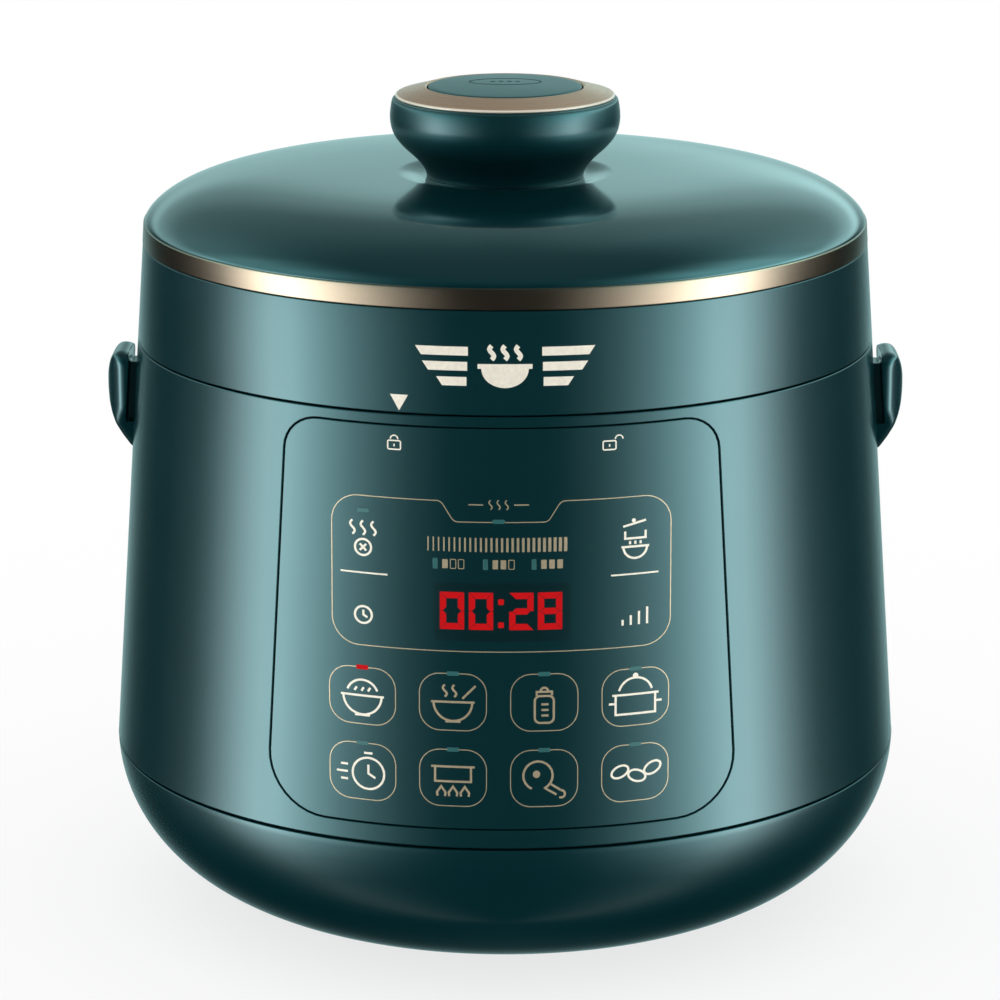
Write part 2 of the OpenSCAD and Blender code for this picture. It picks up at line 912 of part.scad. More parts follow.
module steam_outlet() {
    z = crown_z(vent_y + 2);
    color(teal)
        translate([0, vent_y + 2, 0])
            difference() {
                union() {
                    translate([0, 0, z - 8])
                        cylinder(h = 9, r = 11.4);
                    translate([0, 0, z + 0.35])
                        cylinder(h = 1.2, r1 = 13.4, r2 = 12.4);
                }
                translate([0, 0, z - 9])
                    cylinder(h = 8.4, r = 9.8);
                for (x = [-6:3:6])
                    translate([x - 0.7, -7, z - 5])
                        cube([1.4, 14, 10]);
            }
}

module lever_bracket() {
    low = disc_z + disc_t;
    color(steel)
        difference() {
            union() {
                translate([-11, pivot_y - 5, low])
                    cube([22, 10, 1.6]);
                for (s = [-1, 1])
                    translate([s * 6 - 0.8, pivot_y - 4, low])
                        cube([1.6, 8, pivot_z + 4 - low]);
            }
            translate([-10, pivot_y, pivot_z])
                rotate([0, 90, 0])
                    cylinder(h = 20, r = 1.5);
            for (x = [-8.8, 8.8])
                translate([x, pivot_y, low - 1])
                    cylinder(h = 4, r = 1.2);
        }
}

module lever_pin() {
    color(alloy)
        translate([-7.6, pivot_y, pivot_z])
            rotate([0, 90, 0])
                cylinder(h = 15.2, r = 1.5);
}

module float_guide() {
    low = disc_z + disc_t;
    color(alloy)
        translate([float_x, float_y, 0])
            rotate_extrude()
                polygon([
                    [6, disc_z - 0.4], [6.3, disc_z - 0.4], [6.3, low], [9.5, low], [9.5, low + 2.2],
                    [6.4, low + 2.2], [6.4, low + 12], [3.4, low + 12], [3.4, low + 1.8], [6, low + 1.8]]);
}

module lid_screws() {
    color(steel)
        for (a = lid_screw_headings)
            screw(polar(lid_screw_r, a), lid_floor_z - 0.9, 3, 0.9, 1.7, 9);
}

module lid_magnet() {
    color(alloy)
        rotate([0, 0, 235])
            translate([98, 0, lid_floor_z + lid_floor_t])
                cylinder(h = 3, r = 3.5);
}

// ---- vent button, lever, valves ----

module vent_button() {
    crown = 0.9;
    color(teal)
        rotate_extrude()
            polygon(concat(
                [[0, rod_top_z], [4.6, rod_top_z], [4.6, 238.8], [20.6, 238.8], [20.6, skirt_z]],
                [[button_r, skirt_z], [button_r, button_z - 0.3], [button_r - 0.3, button_z]],
                [for (i = [5:-1:0]) [(button_r - 0.3) * i / 6, button_z + crown * (1 - pow(i / 6, 2))]]));
}

module vent_rod() {
    color(alloy)
        translate([0, 0, rod_low_z])
            cylinder(h = rod_top_z - rod_low_z, r = rod_r);
}

module vent_spring() {
    color(steel)
        coil(6.4, 0.5, knob_z + 4.7, rod_top_z - 0.2, 4);
}

module vent_lever() {
    color(steel)
        difference() {
            union() {
                translate([-4, -4, pivot_z - 1.3])
                    cube([8, vent_y + 8.5, 2.6]);
                translate([-4.6, pivot_y, pivot_z])
                    rotate([0, 90, 0])
                        cylinder(h = 9.2, r = 3.2);
            }
            translate([-10, pivot_y, pivot_z])
                rotate([0, 90, 0])
                    cylinder(h = 20, r = 1.56);
            // Fork round the valve's neck
            translate([-2.6, vent_y - 3.4, pivot_z - 3])
                cube([5.2, 20, 8]);
        }
}

module limiting_valve() {
    neck_low = 188;
    cap_low = 198.2;
    color(alloy)
        translate([0, vent_y, 0])
            rotate_extrude()
                polygon([
                    [0, pipe_top_z - 1.5], [2.2, pipe_top_z + 0.8], [5.5, pipe_top_z + 0.8], [5.5, 176],
                    [9, 176], [9, neck_low], [2, neck_low + 1], [2, cap_low], [6.4, cap_low],
                    [6.4, cap_low + 3.2], [5.6, cap_low + 4], [0, cap_low + 4]]);
}

module float_valve() {
    color(alloy)
        translate([float_x, float_y, 0])
            rotate_extrude()
                polygon([
                    [0, 160.8], [5.4, 160.8], [5.4, 162.4], [3.05, 162.6], [3.05, 181],
                    [2.4, 181.8], [0, 181.8]]);
}

module float_seal() {
    color(silicone)
        translate([float_x, float_y, 0])
            ring(3.1, 5.3, 162.65, 163.8);
}

base_bowl();
body_shell();
control_panel();
touch_board();
display_module();
top_ring();
outer_pot();
bayonet_ring();
heating_plate();
heating_element();
sensor_bracket();
temperature_sensor();
sensor_spring();
pressure_switch();
thermal_fuse();
power_board();
power_components();
bottom_plate();
chassis_screws();
bottom_screws();
rubber_feet();
inlet_housing();
inlet_pins();
ear_left();
ear_right();
ear_screws();
cup_bay();
condensate_cup();
wiring();
lid_switch();
inner_pot();
liner_plate();
sealing_ring();
liner_grommet();
dome_cover();
trim_band();
lid_skirt();
lid_underside();
inner_lid();
knob_body();
knob_ring();
knob_screws();
vent_pipe();
debris_screen();
steam_outlet();
lever_bracket();
lever_pin();
float_guide();
lid_screws();
lid_magnet();
vent_button();
vent_rod();
vent_spring();
vent_lever();
limiting_valve();
float_valve();
float_seal();
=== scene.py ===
"""Looks of a small electric pressure cooker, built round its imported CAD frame.

Lengths of the object are in millimetres until make_piece() turns them into metres.
The floor and the camera are in metres. +Z is up and the front faces -Y.
"""

import math

import bpy
import bmesh
import numpy as np
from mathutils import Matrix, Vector
from mathutils.geometry import delaunay_2d_cdt


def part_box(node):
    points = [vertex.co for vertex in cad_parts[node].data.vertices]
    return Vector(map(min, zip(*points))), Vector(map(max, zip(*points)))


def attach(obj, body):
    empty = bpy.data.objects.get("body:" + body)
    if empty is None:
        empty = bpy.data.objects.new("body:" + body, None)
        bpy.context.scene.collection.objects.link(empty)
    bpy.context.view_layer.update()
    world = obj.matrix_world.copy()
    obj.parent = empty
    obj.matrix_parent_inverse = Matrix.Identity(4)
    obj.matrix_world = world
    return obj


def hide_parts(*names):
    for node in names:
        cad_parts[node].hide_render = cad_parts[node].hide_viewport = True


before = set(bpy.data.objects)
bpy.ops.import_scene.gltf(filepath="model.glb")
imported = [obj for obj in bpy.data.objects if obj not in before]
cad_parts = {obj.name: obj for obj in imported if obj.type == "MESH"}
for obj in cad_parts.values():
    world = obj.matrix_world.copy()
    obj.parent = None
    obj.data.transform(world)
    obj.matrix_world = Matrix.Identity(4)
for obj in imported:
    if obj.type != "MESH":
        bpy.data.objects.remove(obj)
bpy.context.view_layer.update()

MM = 0.001


def span(node):
    """Lowest and highest corner of a CAD node, in millimetres."""
    low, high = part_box(node)
    return low / MM, high / MM


# ---------------------------------------------------------------- dimensions

BODY_R = span("base_bowl")[1].x
WIDEST_Z = 50.0
LEAN = math.radians(4.0)
SHELL_T = 2.4
BOWL_TOP = span("base_bowl")[1].z - 4.0
BOWL_FLAT_R = span("bottom_plate")[1].x + 0.2
FOOT_H = span("base_bowl")[0].z
SHELL_LOW = span("body_shell")[0].z
SHELL_TOP = span("body_shell")[1].z + 0.12
SKIRT_LOW = span("lid_skirt")[0].z - 0.12
BAND_LOW = span("trim_band")[0].z
BAND_TOP = span("trim_band")[1].z
CROWN_H = span("dome_cover")[1].z - BAND_TOP
CROWN_R = span("dome_cover")[1].x
CROWN_N = 7.0
CROWN_M = 1.4
KNOB_R = span("knob_body")[1].x
KNOB_LOW = span("knob_body")[0].z
RIM_Z = span("knob_body")[1].z + 0.7
BUTTON_R = span("vent_button")[1].x
BUTTON_TOP = span("vent_button")[1].z - 0.06
BUTTON_CROWN = 0.45
RECESS = 1.1
NECK_R = 22.9
OUTLET_Y = sum(p.y for p in span("steam_outlet")) / 2
OUTLET_R = 11.6

LATHE_STEPS = 192


def wall_r(z):
    """Radius of the leaning outer wall at a height."""
    return BODY_R - (z - WIDEST_Z) * math.tan(LEAN)


def crown_z(r):
    """Height of the lid's crown at a distance from the axis."""
    return BAND_TOP + CROWN_H * (1 - min(1.0, r / CROWN_R) ** CROWN_N) ** (1 / CROWN_M)


def arc(cx, cy, r, start, end, steps=8):
    """Points along an arc, with its angles in degrees."""
    turns = [math.radians(start + (end - start) * i / steps) for i in range(steps + 1)]
    return [(cx + r * math.cos(a), cy + r * math.sin(a)) for a in turns]


# ---------------------------------------------------------------- materials


class Graph:
    """Short ways to add nodes to a node tree."""

    def __init__(self, tree):
        self.tree = tree

    def link(self, start, end):
        self.tree.links.new(start, end)

    def add(self, kind, inputs=(), **settings):
        """A new node. inputs gives each socket, by name or number, a value or an output."""
        node = self.tree.nodes.new("ShaderNode" + kind)
        for key, value in settings.items():
            setattr(node, key, value)
        for key, value in dict(inputs).items():
            if isinstance(value, bpy.types.NodeSocket):
                self.link(value, node.inputs[key])
            else:
                node.inputs[key].default_value = value
        return node

    def math(self, operation, *values):
        return self.add("Math", enumerate(values), operation=operation).outputs[0]

    def ease(self, value, low, high):
        """0 below low, 1 above high and smooth between."""
        inputs = {"Value": value, "From Min": low, "From Max": high}
        return self.add("MapRange", inputs, interpolation_type="SMOOTHSTEP").outputs[0]

    def curve(self, value, stops):
        """Piecewise linear through (value, level) stops that start at value 0."""
        top, peak = stops[-1][0], max(level for _, level in stops)
        node = self.add("ValToRGB", {0: self.math("DIVIDE", value, top)})
        elements = node.color_ramp.elements
        while len(elements) < len(stops):
            elements.new(0.5)
        for element, (position, level) in zip(elements, stops):
            element.position = position / top
            element.color = (level / peak, level / peak, level / peak, 1)
        return self.math("MULTIPLY", node.outputs[0], peak)

    def mix(self, share, a, b):
        """Number a where share is 0 and b where it is 1."""
        kept = self.math("MULTIPLY", a, self.math("SUBTRACT", 1.0, share))
        return self.math("ADD", kept, self.math("MULTIPLY", b, share))

    def blend(self, share, a, b):
        """Colour a where share is 0 and b where it is 1."""
        return self.add("Mix", {0: share, 6: a, 7: b}, data_type="RGBA").outputs[2]


class Finish(Graph):
    """A Principled material and short ways to add texture to it."""

    def __init__(self, name, color, roughness, **values):
        self.material = bpy.data.materials.new(name)
        self.material.use_nodes = True
        super().__init__(self.material.node_tree)
        self.bsdf = self.tree.nodes["Principled BSDF"]
        self.color, self.roughness = color, roughness
        self.bsdf.inputs["Base Color"].default_value = (*color, 1.0)
        self.bsdf.inputs["Roughness"].default_value = roughness
        for key, value in values.items():
            self.bsdf.inputs[key.replace("_", " ")].default_value = value
        self.coords = self.add("TexCoord").outputs["Object"]
        self.last_normal = None

    def noise(self, scale, detail):
        """Noise over the object's own coordinates; scale is in features per metre."""
        inputs = {"Vector": self.coords, "Scale": scale, "Detail": detail}
        return self.add("TexNoise", inputs).outputs["Fac"]

    def radius(self):
        """Distance from the cooker's axis, in metres."""
        flat = self.add("VectorMath", {0: self.coords, 1: (1, 1, 0)}, operation="MULTIPLY")
        return self.add("VectorMath", {0: flat.outputs[0]}, operation="LENGTH").outputs["Value"]

    def height(self):
        """Height in the object's own coordinates, in metres."""
        return self.add("SeparateXYZ", {0: self.coords}).outputs["Z"]

    def grooves(self, along, per_metre):
        """Noise that changes only with one value, such as turning or brushing marks."""
        inputs = {"W": along, "Scale": per_metre, "Detail": 3.0}
        return self.add("TexNoise", inputs, noise_dimensions="1D").outputs["Fac"]

    def spread(self, value, low, high):
        """Noise, which stays mostly between 0.25 and 0.75, mapped to low..high."""
        inputs = {"Value": value, "From Min": 0.25, "From Max": 0.75}
        return self.add("MapRange", {**inputs, "To Min": low, "To Max": high}).outputs[0]

    def tint(self, value, dark, light):
        """Base colour between two shares of the finish's colour."""
        ends = [(*[min(1, c * share) for c in self.color], 1) for share in (dark, light)]
        self.link(self.blend(self.spread(value, 0, 1), *ends), self.bsdf.inputs["Base Color"])

    def rough(self, value, swing):
        """Roughness that swings round the finish's own."""
        swung = self.spread(value, self.roughness - swing, self.roughness + swing)
        self.link(swung, self.bsdf.inputs["Roughness"])

    def bend(self, node):
        """Lets a node's output stand for the surface's normal."""
        self.last_normal = node.outputs[0]
        self.link(self.last_normal, self.bsdf.inputs["Normal"])

    def bump(self, value, strength, depth):
        """Adds relief; depth is in metres."""
        inputs = {"Height": value, "Strength": strength, "Distance": depth}
        if self.last_normal is not None:
            inputs["Normal"] = self.last_normal
        self.bend(self.add("Bump", inputs))

    def soften(self, radius=0.0003):
        """Rounds the look of sharp edges on plain CAD solids; radius is in metres."""
        self.bend(self.add("Bevel", {"Radius": radius}, samples=4))

    def score(self, marks):
        """Turning or brushing marks in colour, roughness and relief."""
        self.tint(marks, 0.93, 1.04)
        self.rough(marks, 0.05)
        self.bump(marks, 0.12, 0.00002)

    def glow(self, color, strength):
        self.bsdf.inputs["Emission Color"].default_value = (*color, 1.0)
        self.bsdf.inputs["Emission Strength"].default_value = strength


def lacquer(name, color=(0.0009, 0.0190, 0.0228), roughness=0.22, coat=0.42, gloss=0.09):
    """Deep teal lacquer: a satin undertone that shines teal below a clear coat."""
    made = Finish(
        name, color, roughness,
        Specular_IOR_Level=0.5, Specular_Tint=(0.28, 0.93, 1.0, 1.0),
        Coat_Weight=coat, Coat_Roughness=gloss, Coat_IOR=1.5,
    )
    made.tint(made.noise(18, 3), 0.94, 1.06)
    made.rough(made.noise(60, 2), 0.012)
    made.bump(made.noise(1200, 1), 0.015, 0.00002)
    return made.material


def brushed(name, color, roughness, per_metre, turned=False):
    """Metal with fine marks: rings round the axis where turned, or level lines."""
    made = Finish(name, color, roughness, Metallic=1.0)
    marks = made.grooves(made.radius() if turned else made.height(), per_metre)
    made.soften()
    made.score(marks)
    return made.material


def plastic(name, color, roughness=0.5, grain=2500):
    """Moulded plastic with a fine spark-eroded grain."""
    made = Finish(name, color, roughness)
    made.soften()
    made.tint(made.noise(35, 3), 0.9, 1.1)
    made.rough(made.noise(300, 2), 0.05)
    made.bump(made.noise(grain, 2), 0.12, 0.00003)
    return made.material


def rubber(name, color, roughness=0.62, translucency=0.0):
    made = Finish(
        name, color, roughness,
        Subsurface_Weight=translucency, Subsurface_Scale=0.004, Sheen_Weight=0.15,
    )
    made.soften()
    made.tint(made.noise(80, 3), 0.94, 1.04)
    made.bump(made.noise(1800, 2), 0.1, 0.00003)
    return made.material


def lit(name, color, strength):
    """A lit display segment or lamp behind the panel's print."""
    made = Finish(name, [c * 0.1 for c in color], 0.6, Specular_IOR_Level=0.1)
    made.glow(color, strength)
    made.tint(made.noise(400, 1), 0.85, 1.0)
    return made.material


def printed(name, color, metallic, roughness):
    """Metallic pad print."""
    made = Finish(name, color, roughness, Metallic=metallic)
    made.tint(made.noise(900, 2), 0.9, 1.06)
    made.rough(made.noise(1500, 2), 0.05)
    return made.material


def ring_metal_painted_rim_highlight():
    """Brushed champagne ring with a painted highlight at its outer edge: a lighter, less metallic
    base colour there stands in for the bright line of light along the rim.
    """
    made = Finish("champagne_ring_painted_rim_highlight", (0.88, 0.50, 0.34), 0.30)
    radius = made.radius()
    made.score(made.grooves(radius, 7000))
    color = made.bsdf.inputs["Base Color"]
    # Painted highlight: past this radius the base colour turns lighter and less metallic, standing
    # in for the rim's line of light.
    edges = {"From Min": (KNOB_R - 2.2) * MM, "From Max": (KNOB_R - 1.9) * MM}
    rim = made.add("MapRange", {"Value": radius, **edges}).outputs[0]
    made.link(made.blend(rim, color.links[0].from_socket, (0.82, 0.74, 0.62, 1)), color)
    metallic = made.math("SUBTRACT", 0.85, made.math("MULTIPLY", rim, 0.65))
    made.link(metallic, made.bsdf.inputs["Metallic"])
    return made.material


TEAL = lacquer("teal_lacquer")
TEAL_GLOSS = lacquer("teal_lacquer_polished", roughness=0.14, coat=0.6, gloss=0.07)
TEAL_SATIN = lacquer("teal_lacquer_satin", roughness=0.36, coat=0.38, gloss=0.2)
BUTTON_TEAL = lacquer("teal_lacquer_button", (0.008, 0.044, 0.046), 0.30, 0.15, 0.3)
# Sign on the vent button: the matte grain is its own, and the darker colour is painted shade for
# its pressed-in lines.
SIGN_PAINTED_SHADE = plastic("button_sign_painted_shade", (0.003, 0.022, 0.025), 0.5)
GOLD_BAND = brushed("champagne_band", (0.24, 0.20, 0.148), 0.2, 9000)
# Champagne ring whose outer rim carries a painted highlight in its base colour.
GOLD_RING_PAINTED_RIM = ring_metal_painted_rim_highlight()
STEEL = brushed("brushed_steel", (0.50, 0.50, 0.49), 0.42, 5000, turned=True)
CAST = brushed("turned_cast_alloy", (0.55, 0.55, 0.56), 0.38, 2200, turned=True)
TURNED = brushed("turned_alloy", (0.74, 0.74, 0.75), 0.25, 6000)
ZINC = brushed("zinc_screws", (0.70, 0.70, 0.71), 0.22, 4000)
COATING = plastic("pot_coating", (0.035, 0.035, 0.037), 0.34, 1500)
BLACK = plastic("black_plastic", (0.022, 0.023, 0.025), 0.5)
PCB = plastic("circuit_board", (0.03, 0.16, 0.08), 0.45, 600)
SILICONE = rubber("silicone", (0.78, 0.77, 0.72), 0.45, 0.25)
FOOT = rubber("foot_rubber", (0.03, 0.03, 0.03))
WIRE = plastic("wire_jacket", (0.45, 0.05, 0.04), 0.4)
CREAM = printed("print_cream", (0.86, 0.80, 0.68), 0.15, 0.5)
GOLD_PRINT = printed("print_gold", (0.47, 0.38, 0.25), 0.55, 0.42)
RED_LIT = lit("digit_red", (0.62, 0.003, 0.006), 0.75)
TEAL_WINDOW = plastic("indicator_window", (0.015, 0.11, 0.11), 0.35)
SMOKED = lacquer("display_window", (0.0016, 0.0130, 0.0155))


def clear_plastic():
    made = Finish("clear_plastic", (0.72, 0.78, 0.79), 0.18, Transmission_Weight=0.85, IOR=1.45)
    made.rough(made.noise(120, 2), 0.04)
    made.bump(made.noise(1200, 2), 0.05, 0.00003)
    return made.material


CLEAR = clear_plastic()

# ---------------------------------------------------------------- mesh tools


def make_piece(name, points, faces, material, body, replaces=(), normals=None):
    """One mesh piece from millimetre points, placed on its body."""
    mesh = bpy.data.meshes.new(name)
    mesh.from_pydata([Vector(p) * MM for p in points], [], faces)
    mesh.validate()
    mesh.shade_smooth()
    if normals is None:
        mesh.set_sharp_from_angle(angle=math.radians(32))
    else:
        mesh.normals_split_custom_set_from_vertices([tuple(n) for n in normals])
    mesh.materials.append(material)
    piece = bpy.data.objects.new(name, mesh)
    bpy.context.scene.collection.objects.link(piece)
    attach(piece, body)
    if replaces:
        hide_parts(*replaces)
    return piece


class Shell:
    """Faces whose vertices carry exact surface normals."""

    def __init__(self):
        self.points, self.normals, self.faces, self.index = [], [], [], {}

    def vertex(self, point, normal):
        key = tuple(round(c, 4) for c in point) + tuple(round(c, 2) for c in normal)
        if key not in self.index:
            self.index[key] = len(self.points)
            self.points.append(Vector(point))
            self.normals.append(Vector(normal).normalized())
        return self.index[key]

    def face(self, corners):
        """Adds a face and turns it so that it looks along its vertices' normals."""
        corners = list(dict.fromkeys(corners))
        if len(corners) < 3:
            return
        p = [self.points[i] for i in corners]
        if len(corners) == 3:
            facing = (p[1] - p[0]).cross(p[2] - p[0])
        else:
            facing = (p[2] - p[0]).cross(p[3] - p[1])
        if facing.dot(sum((self.normals[i] for i in corners), Vector())) < 0:
            corners.reverse()
        self.faces.append(corners)

    def sheet(self, spots, triangles, sense=1):
        """Faces over (point, normal) spots, which look the other way where sense is -1."""
        ids = [self.vertex(point, normal * sense) for point, normal in spots]
        for corners in triangles:
            self.face([ids[i] for i in corners])

    def strip(self, row_a, row_b, closed=True):
        """Quads between two rows of vertices."""
        count = len(row_a)
        for i in range(count if closed else count - 1):
            j = (i + 1) % count
            self.face([row_a[i], row_a[j], row_b[j], row_b[i]])

    def strips(self, rows, closed=True):
        """Quads between each row of vertices and the next."""
        for low, high in zip(rows, rows[1:]):
            self.strip(low, high, closed)

    def piece(self, name, material, body, slot, replaces=()):
        return make_piece(
            name, self.points, self.faces, material, body, replaces, self.normals
        )


def round_profile(corners, closed=True, steps=5):
    """Profile points from (r, z, fillet) corners."""
    points = []
    count = len(corners)
    for i, (r, z, fillet) in enumerate(corners):
        ends = not closed and i in (0, count - 1)
        if ends or fillet <= 0:
            points.append((r, z))
            continue
        here = Vector((r, z))
        before = Vector(corners[i - 1][:2]) - here
        after = Vector(corners[(i + 1) % count][:2]) - here
        half = before.angle(after) / 2
        reach = min(fillet / math.tan(half), before.length * 0.49, after.length * 0.49)
        radius = reach * math.tan(half)
        middle = here + (before.normalized() + after.normalized()).normalized() * (
            radius / math.sin(half)
        )
        start = here + before.normalized() * reach - middle
        end = here + after.normalized() * reach - middle
        turn = start.angle_signed(end)
        for k in range(steps + 1):
            a = -turn * k / steps
            spun = Vector((
                start.x * math.cos(a) - start.y * math.sin(a),
                start.x * math.sin(a) + start.y * math.cos(a),
            ))
            points.append(tuple(middle + spun))
    return points


def lathe(profile, closed=True, centre=(0.0, 0.0), steps=LATHE_STEPS):
    """Points and faces of a profile of (r, z) points turned round a vertical axis."""
    points, faces, rows = [], [], []
    for r, z in profile:
        if r < 1e-6:
            rows.append([len(points)] * steps)
            points.append((centre[0], centre[1], z))
            continue
        rows.append(list(range(len(points), len(points) + steps)))
        for i in range(steps):
            a = 2 * math.pi * i / steps
            points.append((centre[0] + r * math.sin(a), centre[1] - r * math.cos(a), z))
    spans = len(rows) if closed else len(rows) - 1
    for k in range(spans):
        low, high = rows[k], rows[(k + 1) % len(rows)]
        for i in range(steps):
            j = (i + 1) % steps
            corners = list(dict.fromkeys([low[i], low[j], high[j], high[i]]))
            if len(corners) > 2:
                faces.append(corners)
    return points, faces


def lathe_piece(name, profile, material, body, replaces=(), closed=True,
                centre=(0.0, 0.0), steps=LATHE_STEPS):
    points, faces = lathe(profile, closed, centre, steps)
    return make_piece(name, points, faces, material, body, replaces)


def inside(point, loop):
    """Whether a 2D point is inside a closed loop."""
    x, y = point
    hit = False
    for (x0, y0), (x1, y1) in zip(loop, loop[1:] + loop[:1]):
        if (y0 > y) != (y1 > y) and x < x0 + (y - y0) / (y1 - y0) * (x1 - x0):
            hit = not hit
    return hit


def fill_region(outer, holes, step_x, step_y):
    """2D points and triangles that fill outer except for the holes."""
    loops = [outer, *holes]
    points, edges = [], []
    for loop in loops:
        base = len(points)
        points += loop
        edges += [(base + i, base + (i + 1) % len(loop)) for i in range(len(loop))]
    rim = np.array(points)
    low, high = rim.min(0), rim.max(0)
    gap = 0.45 * min(step_x, step_y)
    for x in np.arange(low[0] + step_x / 2, high[0], step_x):
        for y in np.arange(low[1] + step_y / 2, high[1], step_y):
            if np.min(np.hypot(*(rim - (x, y)).T)) < gap:
                continue
            if inside((x, y), outer) and not any(inside((x, y), h) for h in holes):
                points.append((float(x), float(y)))
    made = delaunay_2d_cdt([Vector(p) for p in points], edges, [], 0, 1e-6)
    flat = [tuple(p) for p in made[0]]
    kept = []
    for corners in made[2]:
        middle = tuple(sum(flat[i][k] for i in corners) / len(corners) for k in (0, 1))
        if inside(middle, outer) and not any(inside(middle, h) for h in holes):
            kept.append(list(corners))
    return flat, kept


def loop_normals(loop):
    """Outward 2D normal at each point of a closed loop that runs anticlockwise."""
    found = []
    for i, p in enumerate(loop):
        a, b = Vector(loop[i - 1]), Vector(loop[(i + 1) % len(loop)])
        along = (b - a).normalized()
        found.append(Vector((along.y, -along.x)))
    return found


def between(p, q, count):
    """The points that split the line from p to q into count parts, without its ends."""
    return [
        (p[0] + (q[0] - p[0]) * i / count, p[1] + (q[1] - p[1]) * i / count)
        for i in range(1, count)
    ]


def joined(corners, counts):
    """A closed loop of corner arcs, with the lines between them split into counts in turn."""
    loop = []
    for i, corner in enumerate(corners):
        loop += corner + between(corner[-1], corners[(i + 1) % len(corners)][0], counts[i % 2])
    return loop


def dense(loop, step):
    """A closed loop with its long sides split into pieces of about step."""
    found = []
    for p, q in zip(loop, loop[1:] + loop[:1]):
        found += [tuple(p), *between(p, q, max(1, round(math.dist(p, q) / step)))]
    return found


# ---------------------------------------------------------------- the leaning wall


def wall_point(u, z, depth=0.0, back=False):
    """Point and normal on the wall; u runs round it from the middle of its front or back."""
    a = u / BODY_R
    r = wall_r(z) - depth
    side = -1 if back else 1
    radial = Vector((side * math.sin(a), -side * math.cos(a), 0))
    normal = radial * math.cos(LEAN) + Vector((0, 0, math.sin(LEAN)))
    return Vector((radial.x * r, radial.y * r, z)), normal


def wall_round(u, back=False):
    """Direction round the wall at u."""
    a = u / BODY_R
    side = -1 if back else 1
    return Vector((side * math.cos(a), side * math.sin(a), 0))


WALL_UP = Vector((0, 0, 1))


def flat_to_wall(loop):
    """Front-view (x, z) points as (u, z) points on the wall."""
    return [(BODY_R * math.asin(x / wall_r(z)), z) for x, z in loop]


def rolled_edge(shell, outline, sign, fillet, thick, back=False, steps=5):
    """Rounded edge and side of a cut in the wall. outline(g) is the cut's loop drawn in by g,
    sign is 1 where the material is inside the loop and -1 where it is outside."""
    tangents = loop_normals(outline(0))
    rows = []
    for k in range(steps + 2):
        a = math.radians(90 * min(k, steps) / steps)
        depth = fillet * (1 - math.cos(a)) if k <= steps else thick
        loop = outline(sign * fillet * (1 - math.sin(a)))
        row = []
        for (u, z), t in zip(loop, tangents):
            point, normal = wall_point(u, z, depth, back)
            away = (wall_round(u, back) * t.x + WALL_UP * t.y) * sign
            row.append(shell.vertex(point, normal * math.cos(a) + away * math.sin(a)))
        rows.append(row)
    shell.strips(rows)


def wall_skin(shell, region, depth, back=False):
    """The wall's outer face, or its inner face where depth is above 0, over a filled region."""
    flat, triangles = region
    spots = [wall_point(u, z, depth, back) for u, z in flat]
    shell.sheet(spots, triangles, -1 if depth > 0 else 1)


PANEL_TOP_Z, PANEL_LOW_Z = 166.4, 54.4
PANEL_TOP_W, PANEL_LOW_W = 59.9, 64.8
PANEL_TOP_R, PANEL_LOW_R = 10.0, 16.0
PANEL_GAP = 0.35


def panel_outline(g):
    """The panel's outline on the wall, drawn in by g."""
    wt, wl = PANEL_TOP_W - g, PANEL_LOW_W - g
    zt, zl = PANEL_TOP_Z - g, PANEL_LOW_Z + g
    rt, rl = PANEL_TOP_R - g, PANEL_LOW_R - g
    lean = math.degrees(math.atan((wl - wt) / (zt - zl)))
    corners = [
        arc(wl - rl, zl + rl, rl, 270, 360 + lean, 10),
        arc(wt - rt, zt - rt, rt, lean, 90, 8),
        arc(rt - wt, zt - rt, rt, 90, 180 - lean, 8),
        arc(rl - wl, zl + rl, rl, 180 - lean, 270, 10),
    ]
    return flat_to_wall(joined(corners, (24, 26)))


def round_rect(cx, cz, w, h, r, g=0.0, steps=6, split=4.0):
    """A rounded rectangle of half sizes w and h drawn in by g, anticlockwise."""
    w, h, r = w - g, h - g, max(0.05, r - g)
    corners = [
        arc(cx + sx * w - sx * r, cz + sz * h - sz * r, r, turn, turn + 90, steps)
        for sx, sz, turn in ((1, -1, 270), (1, 1, 0), (-1, 1, 90), (-1, -1, 180))
    ]
    return joined(corners, [max(1, round(2 * side / split)) for side in (h, w)])


# ---------------------------------------------------------------- casing


def make_bowl():
    """Lower bowl: a quarter ellipse from its flat underside up to the seam."""
    steps = 40
    across, tall = BODY_R - BOWL_FLAT_R, WIDEST_Z - FOOT_H
    start = math.asin((WIDEST_Z - BOWL_TOP) / tall)

    def skin(t):
        turns = [start + (math.pi / 2 - start) * i / steps for i in range(steps + 1)]
        return [
            (BOWL_FLAT_R + (across - t) * math.cos(a), WIDEST_Z - (tall - t) * math.sin(a))
            for a in turns
        ]

    outer, inner = skin(0), skin(SHELL_T)
    edge = 0.3
    lip = arc(outer[0][0] - edge, BOWL_TOP - edge, edge, 90, 0, 5)
    outer = lip + [p for p in outer if p[1] < BOWL_TOP - edge - 0.2]
    inner = [p for p in inner if p[1] < BOWL_TOP - 1]
    inner_r = wall_r(WIDEST_Z) - SHELL_T
    tongue = [
        (inner_r, BOWL_TOP - 2), (inner_r - 0.4, BOWL_TOP + 3.6), (inner_r - 0.8, BOWL_TOP + 4),
        (inner_r - 2.2, BOWL_TOP + 4), (inner_r - 3.2, BOWL_TOP - 3), (inner_r - 2.6, BOWL_TOP - 6),
    ]
    profile = outer + list(reversed([p for p in inner if p[1] < BOWL_TOP - 7]))
    profile += list(reversed(tongue)) + [(inner_r, BOWL_TOP)]
    lathe_piece("bowl_skin", profile, TEAL, "base", ("base_bowl",))


